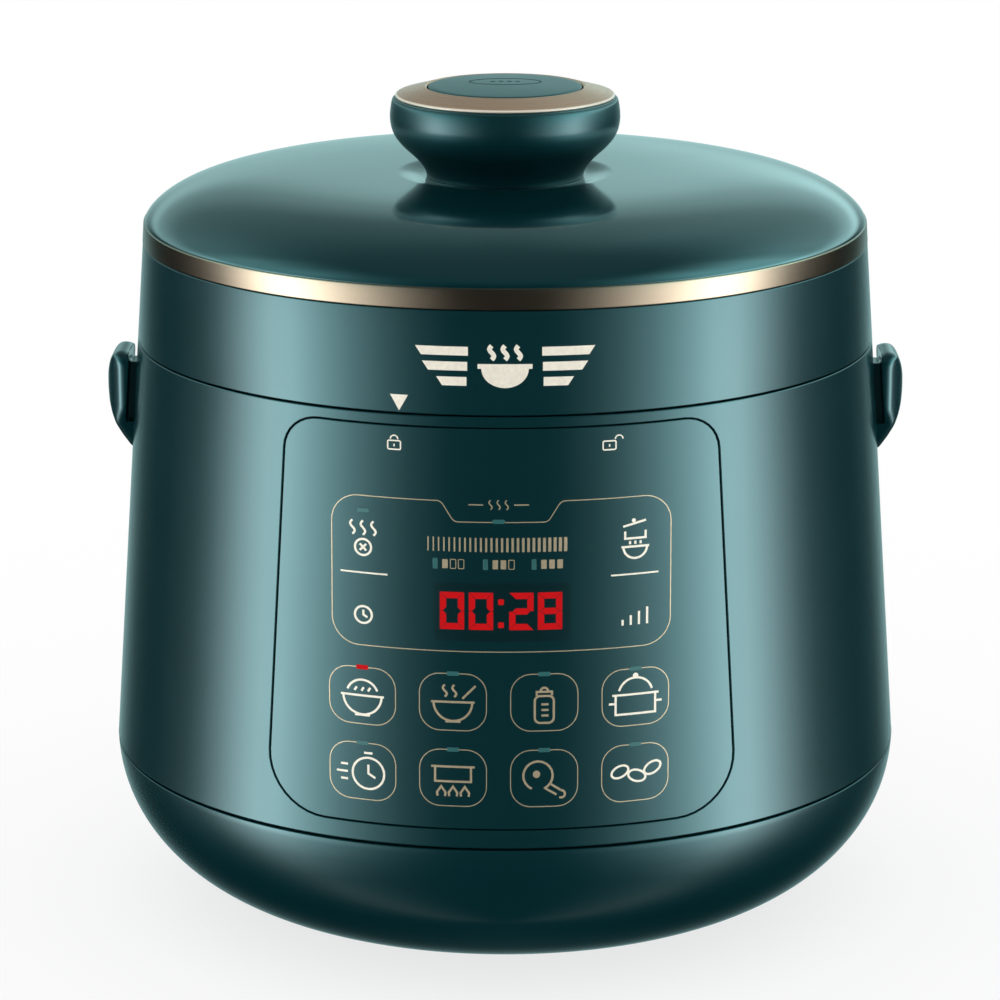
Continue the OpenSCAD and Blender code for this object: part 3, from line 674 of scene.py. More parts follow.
def make_body_shell():
    """Upper casing with the panel's opening in front and two at the back."""
    shell = Shell()
    edge, fillet = 0.3, 0.25
    z0, z1 = SHELL_LOW + edge, SHELL_TOP - edge
    step_u, step_z = 4.0, 6.0
    levels = max(2, round((z1 - z0) / step_z))
    front, rear = math.radians(52), math.radians(30)

    def block(half):
        """Outline of the part of the wall that reaches half an angle to both sides."""
        u = half * BODY_R
        corners = [[(-u, z0)], [(u, z0)], [(u, z1)], [(-u, z1)]]
        return joined(corners, (max(2, round(2 * u / step_u)), levels))

    def opening(node, r):
        """Outline of the opening round a CAD node at the back."""
        low, high = span(node)
        middle, half = (low.z + high.z) / 2, (high.z - low.z) / 2
        return lambda g: flat_to_wall(round_rect(0, middle, high.x, half, r, g))

    for half, outlines, back in (
        (front, [panel_outline], False),
        (rear, [opening("cup_bay", 3.0), opening("inlet_housing", 2.5)], True),
    ):
        outer = fill_region(block(half), [o(-fillet) for o in outlines], step_u, step_z)
        inner = fill_region(block(half), [o(0) for o in outlines], step_u, step_z)
        wall_skin(shell, outer, 0, back)
        wall_skin(shell, inner, SHELL_T, back)
        for outline in outlines:
            rolled_edge(shell, outline, -1, fillet, SHELL_T, back)
    # Plain sides between the two blocks
    columns = 30
    for side in (1, -1):
        us = [
            side * BODY_R * (front + (math.pi - rear - front) * i / columns)
            for i in range(columns + 1)
        ]
        for depth, sense in ((0, 1), (SHELL_T, -1)):
            grid = []
            for u in us:
                column = []
                for k in range(levels + 1):
                    point, normal = wall_point(u, z0 + (z1 - z0) * k / levels, depth)
                    column.append(shell.vertex(point, normal * sense))
                grid.append(column)
            shell.strips(grid, closed=False)
    shell.piece("body_casing", TEAL, "base", "lacquer_teal", ("body_shell",))
    # Rolled rims at the two seams
    top_r, low_r = wall_r(SHELL_TOP), wall_r(SHELL_LOW)
    top = [(wall_r(z1), z1)] + arc(top_r - edge, z1, edge, 0, 90, 5)
    top += [(top_r - SHELL_T - 1.4, SHELL_TOP), (top_r - SHELL_T - 1.4, SHELL_TOP - 2)]
    top += [(wall_r(z1) - SHELL_T, z1 - 2), (wall_r(z1) - SHELL_T, z1)]
    lathe_piece("casing_top_rim", top, TEAL, "base")
    low = [(wall_r(z0) - SHELL_T, z0), (low_r - SHELL_T, SHELL_LOW)]
    low += arc(low_r - edge, z0, edge, -90, 0, 5)
    lathe_piece("casing_low_rim", low, TEAL, "base")


def make_panel():
    """Inset control panel with a rounded edge."""
    shell = Shell()
    fillet = 0.25

    def outline(g):
        return panel_outline(g + PANEL_GAP)

    wall_skin(shell, fill_region(outline(fillet), [], 4.0, 6.0), 0)
    wall_skin(shell, fill_region(outline(0), [], 4.0, 6.0), SHELL_T)
    rolled_edge(shell, outline, 1, fillet, SHELL_T)
    shell.piece("panel_skin", TEAL, "base", "lacquer_teal", ("control_panel",))


# ---------------------------------------------------------------- prints

PRINT_LOW, PRINT_TOP, PRINT_STEP = -0.02, 0.05, 1.5


def on_wall(x, z, height):
    """A front-view point on the wall, lifted by height: point, normal and two directions."""
    u = BODY_R * math.asin(x / wall_r(z))
    point, normal = wall_point(u, z, -height)
    return point, normal, wall_round(u), WALL_UP


def on_button(x, y, height):
    """A point on the vent button's shallow crown."""
    r = math.hypot(x, y)
    z = BUTTON_TOP - BUTTON_CROWN * (r / BUTTON_R) ** 2 + height
    return Vector((x, y, z)), WALL_UP, Vector((1, 0, 0)), Vector((0, 1, 0))


def side_vertex(shell, place, p, height, away):
    """A vertex on the side of a print that looks along the 2D direction away."""
    point, _, across, up = place(*p, height)
    return shell.vertex(point, across * away.x + up * away.y)


def print_patch(shell, loop, place=on_wall, top=PRINT_TOP):
    """A thin filled shape bounded by an anticlockwise loop."""
    loop = dense(loop, PRINT_STEP)
    flat, triangles = fill_region(loop, [], PRINT_STEP, PRINT_STEP)
    for height, sense in ((top, 1), (PRINT_LOW, -1)):
        shell.sheet([place(*p, height)[:2] for p in flat], triangles, sense)
    turned = list(zip(loop, loop_normals(loop)))
    shell.strips([
        [side_vertex(shell, place, p, height, t) for p, t in turned]
        for height in (top, PRINT_LOW)
    ])


def print_line(shell, points, width, closed=False, place=on_wall, top=PRINT_TOP):
    """A thin line of a given width along 2D points."""
    split = dense(points, PRINT_STEP)
    points = split if closed else split[:split.index(points[-1]) + 1]
    ways = [
        (Vector(q) - Vector(p)).normalized() for p, q in zip(points, points[1:] + points[:1])
    ]
    right, left = [], []
    for i, p in enumerate(points):
        after = ways[i] if closed or i < len(points) - 1 else ways[i - 1]
        before = ways[i - 1] if closed or i > 0 else after
        along = (before + after).normalized() if (before + after).length > 1e-6 else after
        across = Vector((along.y, -along.x))
        reach = width / 2 / max(0.5, along.dot(after))
        right.append((Vector(p) + across * reach, across))
        left.append((Vector(p) - across * reach, -across))
    for height, sense in ((top, 1), (PRINT_LOW, -1)):
        rows = []
        for side in (right, left):
            spots = [place(*p, height) for p, _ in side]
            rows.append([shell.vertex(spot[0], spot[1] * sense) for spot in spots])
        shell.strips(rows, closed)
    for side in (right, left):
        shell.strips([
            [side_vertex(shell, place, p, height, t) for p, t in side]
            for height in (top, PRINT_LOW)
        ], closed)
    if closed:
        return
    for end, inner in ((0, 1), (-1, -2)):
        away = (Vector(points[end]) - Vector(points[inner])).normalized()
        a, b = right[end][0], left[end][0]
        shell.face([
            side_vertex(shell, place, p, height, away)
            for p, height in ((a, top), (b, top), (b, PRINT_LOW), (a, PRINT_LOW))
        ])


def moved(points, dx, dz, scale=1.0):
    return [(dx + x * scale, dz + z * scale) for x, z in points]


def circle(x, z, r, steps=24):
    return arc(x, z, r, 0, 360 - 360 / steps, steps - 1)


# Pictograms as (points, closed) lines and (x, z, r) dots, in millimetres round their middle


def curl(x, z, size=1.0):
    """One wisp of steam."""
    steps = 8
    return [
        (x + 0.42 * size * math.sin(2 * math.pi * i / steps), z + 2.6 * size * i / steps)
        for i in range(steps + 1)
    ]


def ellipse(x, z, a, b, turn, steps):
    """A loop round (x, z) with half axes a and b, turned by an angle in degrees."""
    c, s = math.cos(math.radians(turn)), math.sin(math.radians(turn))
    angles = [2 * math.pi * k / steps for k in range(steps)]
    return [
        (x + a * math.cos(t) * c - b * math.sin(t) * s,
         z + a * math.cos(t) * s + b * math.sin(t) * c)
        for t in angles
    ]


def posts(low, heights):
    """Upright strokes from a level: (x, height) each."""
    return [[(x, low), (x, low + height)] for x, height in heights]


BOWL = [[(-4.6, 0), (4.6, 0)], arc(0, 0, 4.1, 180, 360, 16), [(-1.6, -4.2), (1.6, -4.2)]]
# Each pictogram's open lines, closed loops and (x, z, r) dots, in millimetres round its middle
ICONS = {
    "rice": (
        BOWL + [arc(0, 0, 3.4, 20, 160, 12)]
        + [[(x, 1.0), (x + 0.5, 1.8)] for x in (-1.7, -0.2, 1.2)], [], [],
    ),
    "porridge": (
        BOWL + [curl(-1.7, 1.1), curl(0.3, 1.1), [(2.0, 0.8), (4.8, 3.6)]], [], [],
    ),
    "baby": (
        [[(-1.6, 1.5), (-1.6, 2.3), (1.6, 2.3), (1.6, 1.5)], arc(0, 2.4, 0.8, 0, 180, 8)]
        + [[(-0.6, z), (0.9, z)] for z in (-0.4, -1.6, -2.8)],
        [round_rect(0, -1.5, 2.0, 2.9, 1.1, split=9)], [],
    ),
    "soup": (
        [[(-4.2, 0.6), (-4.2, -3.6), (4.2, -3.6), (4.2, 0.6)], [(-4.9, 0.6), (4.9, 0.6)]]
        + [arc(0, 0.6, 3.6, 15, 165, 12)]
        + [[(s * 4.2, -1.2), (s * 5.6, -1.2)] for s in (-1, 1)], [], [(0, 4.6, 0.6)],
    ),
    "quick": (
        [[(1.2, 1.5), (1.2, -0.4), (2.7, -1.3)], [(0.3, 4.0), (2.1, 4.0)]]
        + [[(x, z), (-3.2, z)] for x, z in ((-4.7, 1.2), (-5.6, -0.4), (-4.7, -2.0))],
        [circle(1.2, -0.4, 3.4)], [],
    ),
    "slow": (
        [[(-3.8, 2.4), (-3.8, -0.8), (3.8, -0.8), (3.8, 2.4)], [(-4.6, 2.4), (4.6, 2.4)]]
        + [moved([(-0.8, -4.0), (-0.9, -3.2), (0, -1.9), (0.9, -3.2), (0.8, -4.0)], x, 0)
           for x in (-2.5, 0, 2.5)], [], [],
    ),
    "meat": (
        [arc(-1.3, 0.6, 3.1, -65, 245, 18), [(0.1, -2.1), (2.6, -3.6)]]
        + [[(1.3, -1.2), (3.4, -2.6)], arc(3.6, -3.5, 0.8, -120, 100, 8)],
        [], [(-1.6, 0.9, 0.8)],
    ),
    "beans": (
        [], [ellipse(x, z, 1.9, 1.2, turn, 18) for x, z, turn in
             ((-3.2, 0.4, 25), (0.4, -0.7, -20), (3.7, 0.7, 30))], [],
    ),
    "warm": ([curl(x, -1.7, 1.35) for x in (-2.6, 0, 2.6)], [], []),
    "cancel": (
        [[(-0.8, -0.8), (0.8, 0.8)], [(-0.8, 0.8), (0.8, -0.8)]], [circle(0, 0, 2.0)], [],
    ),
    "timer": ([[(0, 1.2), (0, 0), (1.0, -0.6)]], [circle(0, 0, 2.1)], []),
    "open": (
        [[(-2.5, -0.6), (-2.5, -2.4), (2.5, -2.4), (2.5, -0.6)], [(-3.0, 0.6), (2.6, 1.9)]],
        [], [(-0.4, 2.0, 0.5)],
    ),
    "hotpot": (
        [[(-3.4, 0.9), (3.4, 0.9)], arc(0, 0.9, 2.9, 180, 360, 12)]
        + posts(1.5, ((-1.3, 0.8), (0, 0.8), (1.3, 0.8))), [], [],
    ),
    "texture": (posts(-2.0, ((-3, 1.4), (-1, 2.4), (1, 3.3), (3, 4.2))), [], []),
    "vent": (
        [[(-8.2, 0), (-4.2, 0)], [(4.2, 0), (8.2, 0)]] + [curl(x, -1.3) for x in (-2.2, 0, 2.2)],
        [], [],
    ),
}


def draw_icon(shell, icon, x, z, width, scale=1.0):
    """Prints a pictogram round (x, z)."""
    opened, loops, dots = ICONS[icon]
    for closed, lines in ((False, opened), (True, loops)):
        for points in lines:
            print_line(shell, moved(points, x, z, scale), width, closed)
    for dx, dz, r in dots:
        print_patch(shell, circle(x + dx * scale, z + dz * scale, r * scale, 12))


KEY_X = [-38.1 + 25.0 * i for i in range(4)]
KEY_Z = [90.4, 69.1]
KEY_W, KEY_H, KEY_CORNER = 9.2, 7.95, 5.6
GROUP_W, GROUP_TOP, GROUP_LOW = 46.4, 146.2, 104.6
NOTCH_Z = 140.5
LINE = 0.25


def group_outline():
    """Line round the upper keys and the display, with a step down in its top edge."""
    r = 7.5
    s = 2.2
    right = arc(GROUP_W - r, GROUP_LOW + r, r, 270, 360, 10)
    right += arc(GROUP_W - r, GROUP_TOP - r, r, 0, 90, 10)
    right += arc(17.6, GROUP_TOP - s, s, 90, 150, 6) + arc(11.6, NOTCH_Z + s, s, -30, -90, 6)
    left = [(-x, z) for x, z in reversed(right)]
    return dense(right + left, 4.0)


def make_prints():
    """All print and lamps of the control panel and the lid's front."""
    cream, gold, lamps, red, windows, smoked = (Shell() for _ in range(6))
    # Display window, digits and colon
    print_patch(smoked, round_rect(0.4, 115.6, 18.6, 8.1, 1.5), top=0.02)
    for x, digit in ((-13.3, 0), (-5.4, 0), (5.6, 2), (13.4, 8)):
        seven_segment(red, x, 115.9, digit)
    for z in (118.5, 112.1):
        print_patch(red, round_rect(0.05, z, 0.8, 0.8, 0.35, split=9), top=0.06)
    # Level bar: bars that grow wider towards the right
    bars = 27
    for i in range(bars):
        x = -19.8 + 37.4 * i / (bars - 1)
        half = 0.17 + 0.26 * i / (bars - 1)
        print_patch(gold, round_rect(x, 134.25, half, 1.95, 0.05, steps=1, split=9))
    for k, x in enumerate((-17.9, -4.2, 9.0)):
        print_patch(windows, round_rect(x, 128.85, 0.65, 1.5, 0.25, split=9))
        for j in range(3):
            place = round_rect(x + 2.7 + 2.2 * j, 128.85, 0.75, 1.25, 0.2, split=9)
            if j <= k:
                print_patch(gold, place)
            else:
                print_line(gold, place, 0.22, True)
    # Upper group
    print_line(gold, group_outline(), LINE, True)
    draw_icon(gold, "vent", -0.6, 145.3, 0.34)
    print_patch(windows, round_rect(-0.6, 140.7, 1.7, 0.6, 0.5, split=9), top=0.07)
    for x in (-37.5, 36.5):
        print_line(cream, [(x - 6.5, 124.8), (x + 6.5, 124.8)], 0.45)
    print_patch(windows, round_rect(-37.6, 142.1, 1.7, 0.6, 0.5, split=9), top=0.07)
    for x, z, icon in (
        (-37.7, 137.2, "warm"), (-37.7, 131.9, "cancel"), (-37.7, 113.1, "timer"),
        (36.6, 137.4, "open"), (36.6, 131.4, "hotpot"), (36.6, 112.9, "texture"),
    ):
        draw_icon(cream, icon, x, z, 0.6, 1.12)
    # Eight function keys
    icons = [
        "rice", "porridge", "baby", "soup",
        "quick", "slow", "meat", "beans",
    ]
    for k, icon in enumerate(icons):
        x, z = KEY_X[k % 4], KEY_Z[k // 4]
        print_line(gold, round_rect(x, z, KEY_W, KEY_H, KEY_CORNER, steps=8), LINE, True)
        draw_icon(cream if k % 4 in (0, 3) else gold, icon, x, z, 0.6, 1.3)
        lamp = round_rect(x, z + KEY_H, 1.65, 0.62, 0.3, split=9)
        print_patch(lamps if k == 0 else windows, lamp, top=0.08)
    # Closed and open padlocks at the ends of the lid's turn
    for x, is_open in ((-29.0, False), (29.4, True)):
        print_line(cream, round_rect(x, 160.8, 1.75, 1.2, 0.4, split=9), 0.38, True)
        print_line(cream, [(x, 161.1), (x, 160.4)], 0.38)
        shift = 2.6 if is_open else 0
        print_line(cream, arc(x + shift, 162.4, 1.05, 0, 180, 8), 0.36)
    for shell, name, material, slot in (
        (cream, "panel_print_cream", CREAM, "print_cream"),
        (gold, "panel_print_gold", GOLD_PRINT, "print_gold"),
        (red, "time_digits", RED_LIT, "led_red"),
        (lamps, "key_lamp", RED_LIT, "led_red"),
        (windows, "indicator_windows", TEAL_WINDOW, "led_teal"),
        (smoked, "display_window", SMOKED, "lacquer_teal"),
    ):
        shell.piece(name, material, "base", slot)
    # Lid: turn marker and a generic sign of a steaming bowl
    mark = Shell()
    print_patch(mark, [(-27.6, 169.95 + 0.4), (-25.15, 174.7), (-30.05, 174.7)])
    emblem(mark, 1.1, 183.0)
    mark.piece("lid_print_cream", CREAM, "lid", "print_cream")


SEGMENTS = {0: "abcdef", 2: "abged", 8: "abcdefg"}


def seven_segment(shell, x, z, digit):
    """One digit made of mitred bars."""
    w, h, t, gap = 3.35, 5.2, 1.8, 0.07
    shapes = {
        "a": [(-w, h), (w, h), (w - t, h - t), (-w + t, h - t)],
        "d": [(-w, -h), (-w + t, -h + t), (w - t, -h + t), (w, -h)],
        "b": [(w, h), (w, 0), (w - t / 2, 0), (w - t, t / 2), (w - t, h - t)],
        "c": [(w, -h), (w - t, -h + t), (w - t, -t / 2), (w - t / 2, 0), (w, 0)],
        "f": [(-w, h), (-w + t, h - t), (-w + t, t / 2), (-w + t / 2, 0), (-w, 0)],
        "e": [(-w, -h), (-w, 0), (-w + t / 2, 0), (-w + t, -t / 2), (-w + t, -h + t)],
        "g": [(-w + t / 2, 0), (-w + t, t / 2), (w - t, t / 2), (w - t / 2, 0),
              (w - t, -t / 2), (-w + t, -t / 2)],
    }
    for key in SEGMENTS[digit]:
        loop = shapes[key]
        area = sum(a[0] * b[1] - b[0] * a[1] for a, b in zip(loop, loop[1:] + loop[:1]))
        loop = loop if area > 0 else loop[::-1]
        middle = (sum(p[0] for p in loop) / len(loop), sum(p[1] for p in loop) / len(loop))
        shrunk = []
        for p in loop:
            d = Vector(p) - Vector(middle)
            shrunk.append(tuple(Vector(p) - d.normalized() * gap))
        print_patch(shell, moved(shrunk, x, z), top=0.06)


def emblem(shell, x, z):
    """A wide, bold sign: a bowl with steam between two sets of tapered bars."""
    bowl = [(7.4, -0.5), (7.4, 0.8), (-7.4, 0.8), (-7.4, -0.5)]
    angles = [math.radians(180 + 180 * i / 20) for i in range(21)]
    bowl += [(6.4 * math.cos(a), -0.5 + 5.2 * math.sin(a)) for a in angles]
    print_patch(shell, moved(bowl, x, z))
    for dx in (-3.6, 0, 3.6):
        print_line(shell, moved(curl(dx, 2.0, 1.45), x, z), 1.25)
    for k, (reach, dz) in enumerate(((24.3, 4.2), (22.4, 0.1), (18.6, -4.0))):
        start = 10.0 + 0.2 * k
        bar = [(start, dz + 1.2), (start, dz - 1.2), (reach - 1.6, dz - 1.2), (reach, dz + 1.2)]
        print_patch(shell, moved([(-px, pz) for px, pz in bar[::-1]], x, z))
        print_patch(shell, moved(bar, x, z))


# ---------------------------------------------------------------- lid


def make_lid():
    edge = 0.3
    low_r, high_r = wall_r(SKIRT_LOW), wall_r(BAND_LOW)
    skirt = [
        (low_r, SKIRT_LOW, edge), (high_r, BAND_LOW - 0.12, 0.25),
        (high_r - 2.3, BAND_LOW - 0.12, 0), (wall_r(BAND_TOP) - 2.35, BAND_TOP - 0.2, 0),
        (wall_r(BAND_TOP) - 4.3, BAND_TOP - 0.2, 0.2), (high_r - 4.3, BAND_LOW - 6, 1),
        (wall_r(BAND_LOW - 8) - 2.2, BAND_LOW - 8, 0.5), (low_r - 2.2, SKIRT_LOW, 0.2),
    ]
    lathe_piece("skirt_skin", round_profile(skirt), TEAL, "lid", ("lid_skirt",))
    out = 0.1
    band = [
        (high_r + out, BAND_LOW, 0.35), (wall_r(BAND_TOP) + out, BAND_TOP, 0.45),
        (wall_r(BAND_TOP) - 2.2, BAND_TOP, 0), (high_r - 2.2, BAND_LOW, 0),
    ]
    lathe_piece("band_skin", round_profile(band), GOLD_BAND, "lid", ("trim_band",))
    make_dome()


def dome_z(r):
    """Height of the dome's skin: the crown with a shallow recess round the knob's neck."""
    share = max(0.0, min(1.0, (r - 23.5) / 7.5))
    return crown_z(r) - RECESS * (1 - share * share * (3 - 2 * share))


def make_dome():
    """Domed cover: turned rows, with one filled sector round the steam outlet's hole."""
    shell = Shell()
    near, far, steps = 34.0, 62.0, 11
    radii = [7 + 27 * i / 12 for i in range(12)]
    radii += [near + (far - near) * i / 8 for i in range(9)]
    radii += [far + (CROWN_R - 0.02 - far) * math.sin(math.pi / 2 * i / 38) for i in range(1, 39)]
    middle = LATHE_STEPS // 2

    def normal_at(r, x, y):
        d = 0.05
        rise = (dome_z(min(r + d, CROWN_R - 1e-4)) - dome_z(max(0, r - d))) / (2 * d)
        n = Vector((-rise, 1)).normalized()
        return Vector((n.x * x / r, n.x * y / r, n.y))

    def spot(x, y, inner=False):
        """Vertex on the outer or the inner skin above a plan point."""
        r = math.hypot(x, y)
        normal = normal_at(r, x, y)
        if not inner:
            return shell.vertex((x, y, dome_z(r)), normal)
        share = max(0.0, (r - far) / (CROWN_R - far))
        drawn = (r - SHELL_T * share) / r
        drop = max(BAND_TOP - 0.1, crown_z(r) - SHELL_T * (1 - 0.5 * share))
        return shell.vertex((x * drawn, y * drawn, drop), -normal)

    def plan(r, i):
        a = 2 * math.pi * i / LATHE_STEPS
        return r * math.sin(a), -r * math.cos(a)

    # Loop of the filled sector, anticlockwise seen from above
    inside_rows = [r for r in radii if near - 1e-6 <= r <= far + 1e-6]
    sector = [plan(near, i) for i in range(middle + steps, middle - steps - 1, -1)]
    sector += [plan(r, middle - steps) for r in inside_rows[1:-1]]
    sector += [plan(far, i) for i in range(middle - steps, middle + steps + 1)]
    sector += [plan(r, middle + steps) for r in reversed(inside_rows[1:-1])]
    hole = circle(0, OUTLET_Y, OUTLET_R, 48)
    flat, triangles = fill_region(sector, [hole], 3.0, 3.0)
    for inner in (False, True):
        ids = [spot(px, py, inner) for px, py in flat]
        for corners in triangles:
            shell.face([ids[i] for i in corners])
        rows = [[spot(*plan(r, i), inner) for i in range(LATHE_STEPS)] for r in radii]
        for low, high, r in zip(rows, rows[1:], radii):
            for i in range(LATHE_STEPS):
                k = (i + 1) % LATHE_STEPS
                if near - 1e-6 <= r < far - 1e-6 and middle - steps <= i < middle + steps:
                    continue
                shell.face([low[i], low[k], high[k], high[i]])
        if inner:
            inner_row = [shell.points[i] for i in rows[-1]]
        else:
            outer_row = [shell.points[i] for i in rows[-1]]
    centre = [plan(radii[0], i) for i in range(LATHE_STEPS)]
    for loop, (cx, cy) in ((hole, (0, OUTLET_Y)), (centre, (0, 0))):
        sides = [[], []]
        for px, py in loop:
            away = Vector((cx - px, cy - py, 0)).normalized()
            for row, inner in zip(sides, (False, True)):
                row.append(shell.vertex(shell.points[spot(px, py, inner)], away))
        shell.strip(*sides)
    down = Vector((0, 0, -1))
    shell.strip(
        [shell.vertex(Vector((p.x, p.y, BAND_TOP - 0.1)), down) for p in outer_row],
        [shell.vertex(Vector((p.x, p.y, BAND_TOP - 0.1)), down) for p in inner_row],
    )
    skirt_rows = [[], []]
    for p in outer_row:
        out = Vector((p.x, p.y, 0)).normalized()
        skirt_rows[0].append(shell.vertex(p, out))
        skirt_rows[1].append(shell.vertex(Vector((p.x, p.y, BAND_TOP - 0.1)), out))
    shell.strip(*skirt_rows)
    shell.piece("dome_skin", TEAL_GLOSS, "lid", "lacquer_teal", ("dome_cover",))


def smooth_curve(points, steps=6):
    """A Catmull-Rom curve through 2D points."""
    found = []
    padded = [points[0], *points, points[-1]]
    for i in range(1, len(padded) - 2):
        p0, p1, p2, p3 = (Vector(p) for p in padded[i - 1:i + 3])
        for k in range(steps):
            t = k / steps
            found.append(tuple(0.5 * (
                2 * p1 + (p2 - p0) * t + (2 * p0 - 5 * p1 + 4 * p2 - p3) * t * t
                + (3 * p1 - p0 - 3 * p2 + p3) * t ** 3
            )))
    found.append(tuple(points[-1]))
    return found


def make_knob():
    """Knob body, its metal ring and the vent button in the ring."""
    side = [
        (NECK_R, KNOB_LOW - RECESS + 0.05), (NECK_R + 0.25, 217.6), (NECK_R + 1.1, 219.3),
        (NECK_R + 2.5, 221.1), (KNOB_R * 0.815, 223.0), (KNOB_R * 0.868, 224.6),
        (KNOB_R * 0.917, 226.3), (KNOB_R * 0.957, 228.1), (KNOB_R * 0.985, 230.2),
        (KNOB_R * 0.998, 232.4), (KNOB_R, 234.2), (KNOB_R * 0.994, 236.4),
        (KNOB_R * 0.981, 238.6), (KNOB_R - 1.25, RIM_Z - 0.7),
    ]
    profile = [(2.9, KNOB_LOW), (NECK_R - 3, KNOB_LOW), (NECK_R - 2.5, KNOB_LOW - RECESS + 0.05)]
    profile += smooth_curve(side)
    profile += arc(KNOB_R - 1.75, RIM_Z - 0.75, 0.45, 0, 90, 4)
    profile += [
        (KNOB_R - 5.2, RIM_Z - 0.3), (KNOB_R - 5.2, 229), (KNOB_R - 9, KNOB_LOW + 5.6),
        (KNOB_R - 10.4, KNOB_LOW + 4.6), (2.9, KNOB_LOW + 4.6),
    ]
    lathe_piece("knob_skin", profile, TEAL_SATIN, "lid", ("knob_body",))
    top = BUTTON_TOP - BUTTON_CROWN
    ring = [
        (BUTTON_R + 0.4, 235.5, 0), (24.6, 235.5, 0), (24.6, RIM_Z - 0.25, 0),
        (KNOB_R - 1.75, RIM_Z - 0.25, 0.15), (KNOB_R - 1.45, RIM_Z + 0.1, 0.3),
        (KNOB_R - 2.0, RIM_Z + 0.5, 0.35), (BUTTON_R + 0.85, top, 0.3),
        (BUTTON_R + 0.4, top - 0.35, 0.1),
    ]
    lathe_piece("ring_skin", round_profile(ring), GOLD_RING_PAINTED_RIM, "lid", ("knob_ring",))
    crown = [(BUTTON_R * i / 12, BUTTON_TOP - BUTTON_CROWN * (i / 12) ** 2) for i in range(12)]
    button = crown + arc(BUTTON_R - 0.45, top - 0.42, 0.45, 80, 0, 5)
    button += [(BUTTON_R, 233.6), (20.6, 233.6), (20.6, 238.8)]
    button += [(4.6, 238.8), (4.6, 232.2), (0, 232.2)]
    lathe_piece(
        "button_skin", button, BUTTON_TEAL, "button", ("vent_button",), closed=False
    )
    # Steam sign of the button, behind its middle, drawn as a thin darker patch on the crown: its
    # darker colour is painted shade standing in for the pressed-in lines.
    sign = Shell()
    print_line(sign, ellipse(0, 5.0, 10.4, 6.0, 0, 48), 0.6, True, on_button, 0.04)
    for x in (-3.6, -1.2, 1.2, 3.6):
        print_patch(sign, circle(x, 5.0, 0.75, 12), on_button, 0.04)
    sign.piece("button_sign", SIGN_PAINTED_SHADE, "button", "lacquer_teal")


def make_outlet():
    """Round steam outlet behind the knob, with five slots."""
    low, high = span("steam_outlet")
    z = high.z - 1.55
    under = z - 0.6
    slot_r = 9.6
    up = Vector((0, 0, 1))
    shell = Shell()
    rim = circle(0, OUTLET_Y, 12.0, 64)
    holes = [
        round_rect(x, OUTLET_Y, 0.75, math.sqrt(slot_r ** 2 - x * x) - 0.8, 0.7, split=2)
        for x in (-6, -3, 0, 3, 6)
    ]
    flat, triangles = fill_region(rim, holes, 2.5, 2.5)
    for level, sense in ((high.z, 1), (under, -1)):
        shell.sheet([((*p, level), up) for p in flat], triangles, sense)
    for hole in holes:
        turned = list(zip(hole, loop_normals(hole)))
        shell.strips([
            [shell.vertex((*p, level), (-t.x, -t.y, 0)) for p, t in turned]
            for level in (high.z, under)
        ])

    def ring(r, level, tilt):
        """A row of vertices round the outlet; tilt 1 looks up and 0 looks out."""
        row = []
        for px, py in rim:
            out = Vector((px, py - OUTLET_Y, 0)).normalized()
            point = out * r + Vector((0, OUTLET_Y, level))
            row.append(shell.vertex(point, out * (1 - tilt) + up * tilt))
        return row

    shell.strips([
        ring(12.0, high.z, 1), ring(12.0, high.z, 0.9), ring(12.6, z + 1.4, 0.3),
        ring(13.3, z + 0.9, 0.3), ring(13.4, z + 0.35, 0.3), ring(11.4, z + 0.35, 0),
        ring(11.4, low.z, 0),
    ])
    shell.piece("outlet_skin", TEAL, "lid", "lacquer_teal", ("steam_outlet",))


# ---------------------------------------------------------------- ears


